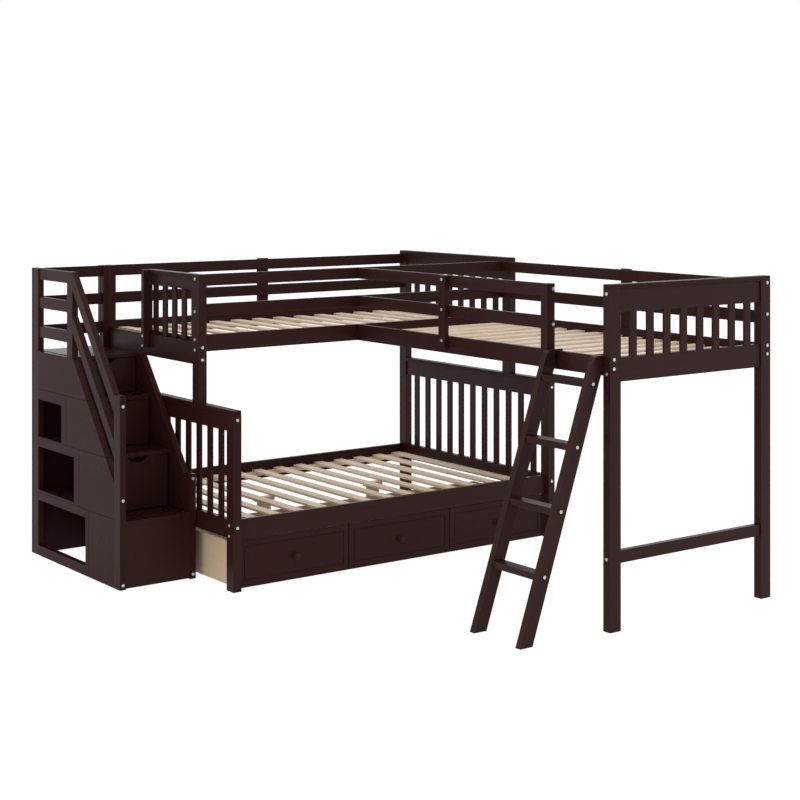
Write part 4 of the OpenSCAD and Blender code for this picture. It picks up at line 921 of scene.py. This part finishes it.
class BUNK_OT_step_drawers(Operator):
    """Builds the notched fronts and the plywood boxes of the staircase's drawers"""

    bl_idname = "bunk.step_drawers"
    bl_label = "Staircase Drawers"

    def execute(self, context):
        sizes = context.scene.bunk_sizes
        for step in STEPS:
            add_shaped_boards(sizes.front_round, step + "_front")
            add_plain_boards(sizes.box_round, step + "_box")
        return {"FINISHED"}


class BUNK_OT_rolling_drawers(Operator):
    """Builds the grooved fronts and the plywood boxes of the rolling drawers"""

    bl_idname = "bunk.rolling_drawers"
    bl_label = "Rolling Drawers"

    def execute(self, context):
        sizes = context.scene.bunk_sizes
        for roll in ROLLS:
            add_shaped_boards(sizes.front_round, roll + "_front", inner=sizes.groove_round)
            add_shaped_boards(sizes.box_round, roll + "_box")
        return {"FINISHED"}


class BUNK_OT_knobs(Operator):
    """Turns the wooden knobs of the rolling drawers"""

    bl_idname = "bunk.knobs"
    bl_label = "Drawer Knobs"
    # Shares of the radius and of the length, from the foot on the drawer front to the crown
    profile = ((0.0, 0.0), (0.60, 0.0), (0.64, 0.03), (0.56, 0.10), (0.49, 0.24), (0.55, 0.40), (0.84, 0.52),
               (0.97, 0.62), (0.99, 0.74), (0.90, 0.87), (0.66, 0.96), (0.34, 0.992), (0.0, 1.0))
    steps_per_span = 4

    def execute(self, context):
        curve = np.clip(smooth_curve(self.profile, self.steps_per_span), 0, 1)
        for roll in ROLLS:
            node = roll + "_knob"
            low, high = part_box(node)
            centre = (low + high) / 2
            part = turned(curve[:, 0] * (high.x - low.x) / 2, curve[:, 1] * (high.y - low.y), KNOB_SIDES)
            part = set_along(part, (centre.x, high.y, centre.z), (0, -1, 0))
            mesh = mesh_from(node + "_turned", [part])
            write_grain(mesh, node)
            new_piece(node, mesh, "espresso_wood")
        return {"FINISHED"}


class BUNK_OT_wheels(Operator):
    """Builds the wheel pairs of the rolling drawers on their steel axles"""

    bl_idname = "bunk.wheels"
    bl_label = "Drawer Wheels"

    def execute(self, context):
        sizes = context.scene.bunk_sizes
        for node in [roll + end for roll in ROLLS for end in ("_front_wheels", "_rear_wheels")]:
            points = solids_of(node)[0]
            low, high = points.min(0), points.max(0)
            centre = (low + high) / 2
            distance = np.linalg.norm((points - centre)[:, 1:], axis=1)
            radius = distance.max()
            faces_at = np.unique(np.round(points[distance > ON_RIM * radius, 0], 5))
            bore = distance[np.abs(points[:, 0] - low[0]) < MERGE].max()
            width = faces_at[1] - faces_at[0]
            parts = [set_along(wheel(radius, width, bore, sizes), (middle, *centre[1:]), (1, 0, 0))
                     for middle in (faces_at[0] + width / 2, faces_at[-1] - width + width / 2)]
            nylon_faces = sum(len(block) for _, blocks in parts for block in blocks)
            parts.append(set_along(rod(bore, low[0], high[0]), (0, *centre[1:]), (1, 0, 0)))
            mesh = mesh_from(node + "_moulded", parts)
            finish = (np.arange(len(mesh.polygons)) >= nylon_faces).astype(np.int32)
            mesh.polygons.foreach_set("material_index", finish)
            new_piece(node, mesh, "black_plastic", "steel")
        return {"FINISHED"}


class BUNK_OT_ladder(Operator):
    """Builds the legs and the rungs of the ladder"""

    bl_idname = "bunk.ladder"
    bl_label = "Ladder"

    def execute(self, context):
        add_shaped_boards(context.scene.bunk_sizes.rail_round, "ladder_legs", "ladder_rungs")
        return {"FINISHED"}


class BUNK_OT_ladder_hardware(Operator):
    """Builds the rung bolts and the two black hook plates that hang over the loft's rail"""

    bl_idname = "bunk.ladder_hardware"
    bl_label = "Ladder Hardware"
    plate_reach = 0.1          # the plates lie within this height under the top, and the bolts below it

    def execute(self, context):
        sizes = context.scene.bunk_sizes
        shape = merged_copy("ladder_hardware")
        lowest = max(v.co.z for v in shape.verts) - self.plate_reach
        bmesh.ops.delete(shape, geom=[v for v in shape.verts if v.co.z < lowest], context="VERTS")
        plates = round_long_edges(plain_mesh(shape, "plates"), sizes.hook_round, sizes.hook_round)
        plates.polygons.foreach_set("material_index", np.ones(len(plates.polygons), np.int32))
        solids = [points for points in solids_of("ladder_hardware") if points[:, 2].max() < lowest]
        mesh = mesh_from("ladder_hardware_turned", [bolt(points, sizes) for points in solids])
        whole = bmesh.new()
        whole.from_mesh(mesh)
        whole.from_mesh(plates)
        whole.to_mesh(mesh)
        whole.free()
        bpy.data.meshes.remove(plates)
        new_piece("ladder_hardware", mesh, "steel", "black_steel")
        return {"FINISHED"}


class BUNK_OT_stage(Operator):
    """Sets the camera at the photograph's viewing angle, the pale floor, the surroundings and the lights"""

    bl_idname = "bunk.stage"
    bl_label = "Stage"
    # The camera is level, at the height of the photograph's horizon
    camera_at = (-5.0758, -6.9152, 2.0908)
    camera_azimuth = -36.3
    camera_lens = 75.06
    camera_shift = (0.01875, -0.2925)
    # Each light: name, place, point it is aimed at, width, watts
    lights = (("Right light", (8.0, 0.0, 4.0), (0.0, 0.0, 0.6), 4.0, 64.0),
              ("Left light", (-7.5, -1.0, 1.8), (0.0, 0.0, 0.6), 4.0, 52.0))
    surroundings = 1.65        # brightness of the surroundings, as they light the bed
    reflected = 1.08           # their brightness, as the lacquer reflects them
    bounce = 0.35              # share of light that the floor sends back to the bed
    floor_light = 0.45         # light that the floor adds of its own
    floor_shade = 0.12         # share of light that the camera sees on the floor
    floor_glow = 0.94          # light of its own that the camera sees on it
    floor_rings = (60.0, 10.0, 3.0, 0.0)

    def execute(self, context):
        self.set_camera(context)
        self.lay_floor(context)
        self.set_world(context)
        for name, place, aim, width, power in self.lights:
            lamp = bpy.data.lights.new(name, "AREA")
            lamp.shape = "DISK"
            lamp.size = width
            lamp.energy = power
            holder = new_object(name, lamp)
            holder.location = place
            holder.rotation_euler = (Vector(aim) - Vector(place)).to_track_quat("-Z", "Y").to_euler()
            holder.visible_camera = False
        context.scene.view_settings.view_transform = "Standard"
        return {"FINISHED"}

    def set_camera(self, context):
        camera = bpy.data.cameras.new("Camera")
        camera.lens = self.camera_lens
        camera.shift_x, camera.shift_y = self.camera_shift
        camera.clip_end = 200.0
        holder = new_object("Camera", camera)
        holder.location = self.camera_at
        holder.rotation_euler = (math.pi / 2, 0, math.radians(self.camera_azimuth))
        context.scene.camera = holder

    def lay_floor(self, context):
        """The floor is a disc, turned about Z. Seen by the camera it glows a little, so that it is as white
        as the surroundings and its shadows stay faint."""
        heights = [CAD_BOX[0].z] * len(self.floor_rings)
        mesh = mesh_from("floor", [turned(self.floor_rings, heights, FLOOR_SIDES)])
        material = bpy.data.materials.new("floor")
        make = empty_tree(material)
        tint = (*context.scene.bunk_finishes.floor, 1.0)
        place = make.add("ShaderNodeTexCoord").outputs["Object"]
        cloud = make.ramp(make.noise(place, 3.0, 3.0), to_low=0.98)
        shade = make.add("ShaderNodeBsdfDiffuse", {"Color": (self.floor_shade,) * 3 + (1.0,)})
        glow = make.math("MULTIPLY", cloud, self.floor_glow)
        glow = make.add("ShaderNodeEmission", {"Color": tint, "Strength": glow})
        seen = make.add("ShaderNodeAddShader", {0: shade.outputs[0], 1: glow.outputs[0]})
        dull = make.add("ShaderNodeBsdfDiffuse", {"Color": (self.bounce,) * 3 + (1.0,)})
        fill = make.add("ShaderNodeEmission", {"Color": tint, "Strength": self.floor_light})
        lit = make.add("ShaderNodeAddShader", {0: dull.outputs[0], 1: fill.outputs[0]})
        path = make.add("ShaderNodeLightPath")
        both = make.add("ShaderNodeMixShader", {0: path.outputs["Is Camera Ray"], 1: lit.outputs[0],
                                                2: seen.outputs[0]})
        make.add("ShaderNodeOutputMaterial", {"Surface": both.outputs[0]})
        mesh.materials.append(material)
        new_object("floor", mesh)

    def set_world(self, context):
        world = bpy.data.worlds.new("Surroundings")
        make = empty_tree(world)
        path = make.add("ShaderNodeLightPath")
        unseen = make.ramp(path.outputs["Is Glossy Ray"], to_low=self.surroundings, to_high=self.reflected)
        strength = make.ramp(path.outputs["Is Camera Ray"], to_low=unseen)
        white = make.add("ShaderNodeBackground", {"Color": (1.0, 1.0, 1.0, 1.0), "Strength": strength})
        make.add("ShaderNodeOutputWorld", {"Surface": white.outputs[0]})
        context.scene.world = world


OPERATORS = (BUNK_OT_posts, BUNK_OT_rails, BUNK_OT_end_panels, BUNK_OT_slats, BUNK_OT_bolts,
             BUNK_OT_staircase, BUNK_OT_stair_sides, BUNK_OT_slides, BUNK_OT_step_drawers,
             BUNK_OT_rolling_drawers, BUNK_OT_knobs, BUNK_OT_wheels, BUNK_OT_ladder,
             BUNK_OT_ladder_hardware, BUNK_OT_stage)


class BUNK_PT_panel(Panel):
    """Lists the bed's sizes, finishes and operators"""

    bl_idname = "BUNK_PT_panel"
    bl_label = "Bunk Bed"
    bl_space_type = "VIEW_3D"
    bl_region_type = "UI"
    bl_category = "Bunk Bed"

    def draw(self, context):
        for settings in (context.scene.bunk_sizes, context.scene.bunk_finishes):
            box = self.layout.box()
            for name in settings.__annotations__:
                box.prop(settings, name)
        for operator in OPERATORS:
            self.layout.operator(operator.bl_idname)


CLASSES = (BunkSizes, BunkFinishes, *OPERATORS, BUNK_PT_panel)


def register():
    for cls in CLASSES:
        bpy.utils.register_class(cls)
    bpy.types.Scene.bunk_sizes = PointerProperty(type=BunkSizes)
    bpy.types.Scene.bunk_finishes = PointerProperty(type=BunkFinishes)


def unregister():
    del bpy.types.Scene.bunk_finishes
    del bpy.types.Scene.bunk_sizes
    for cls in reversed(CLASSES):
        bpy.utils.unregister_class(cls)


def main():
    """Registers the classes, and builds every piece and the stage."""
    register()
    for operator in OPERATORS:
        group, name = operator.bl_idname.split(".")
        getattr(getattr(bpy.ops, group), name)()


if __name__ == "__main__":
    main()
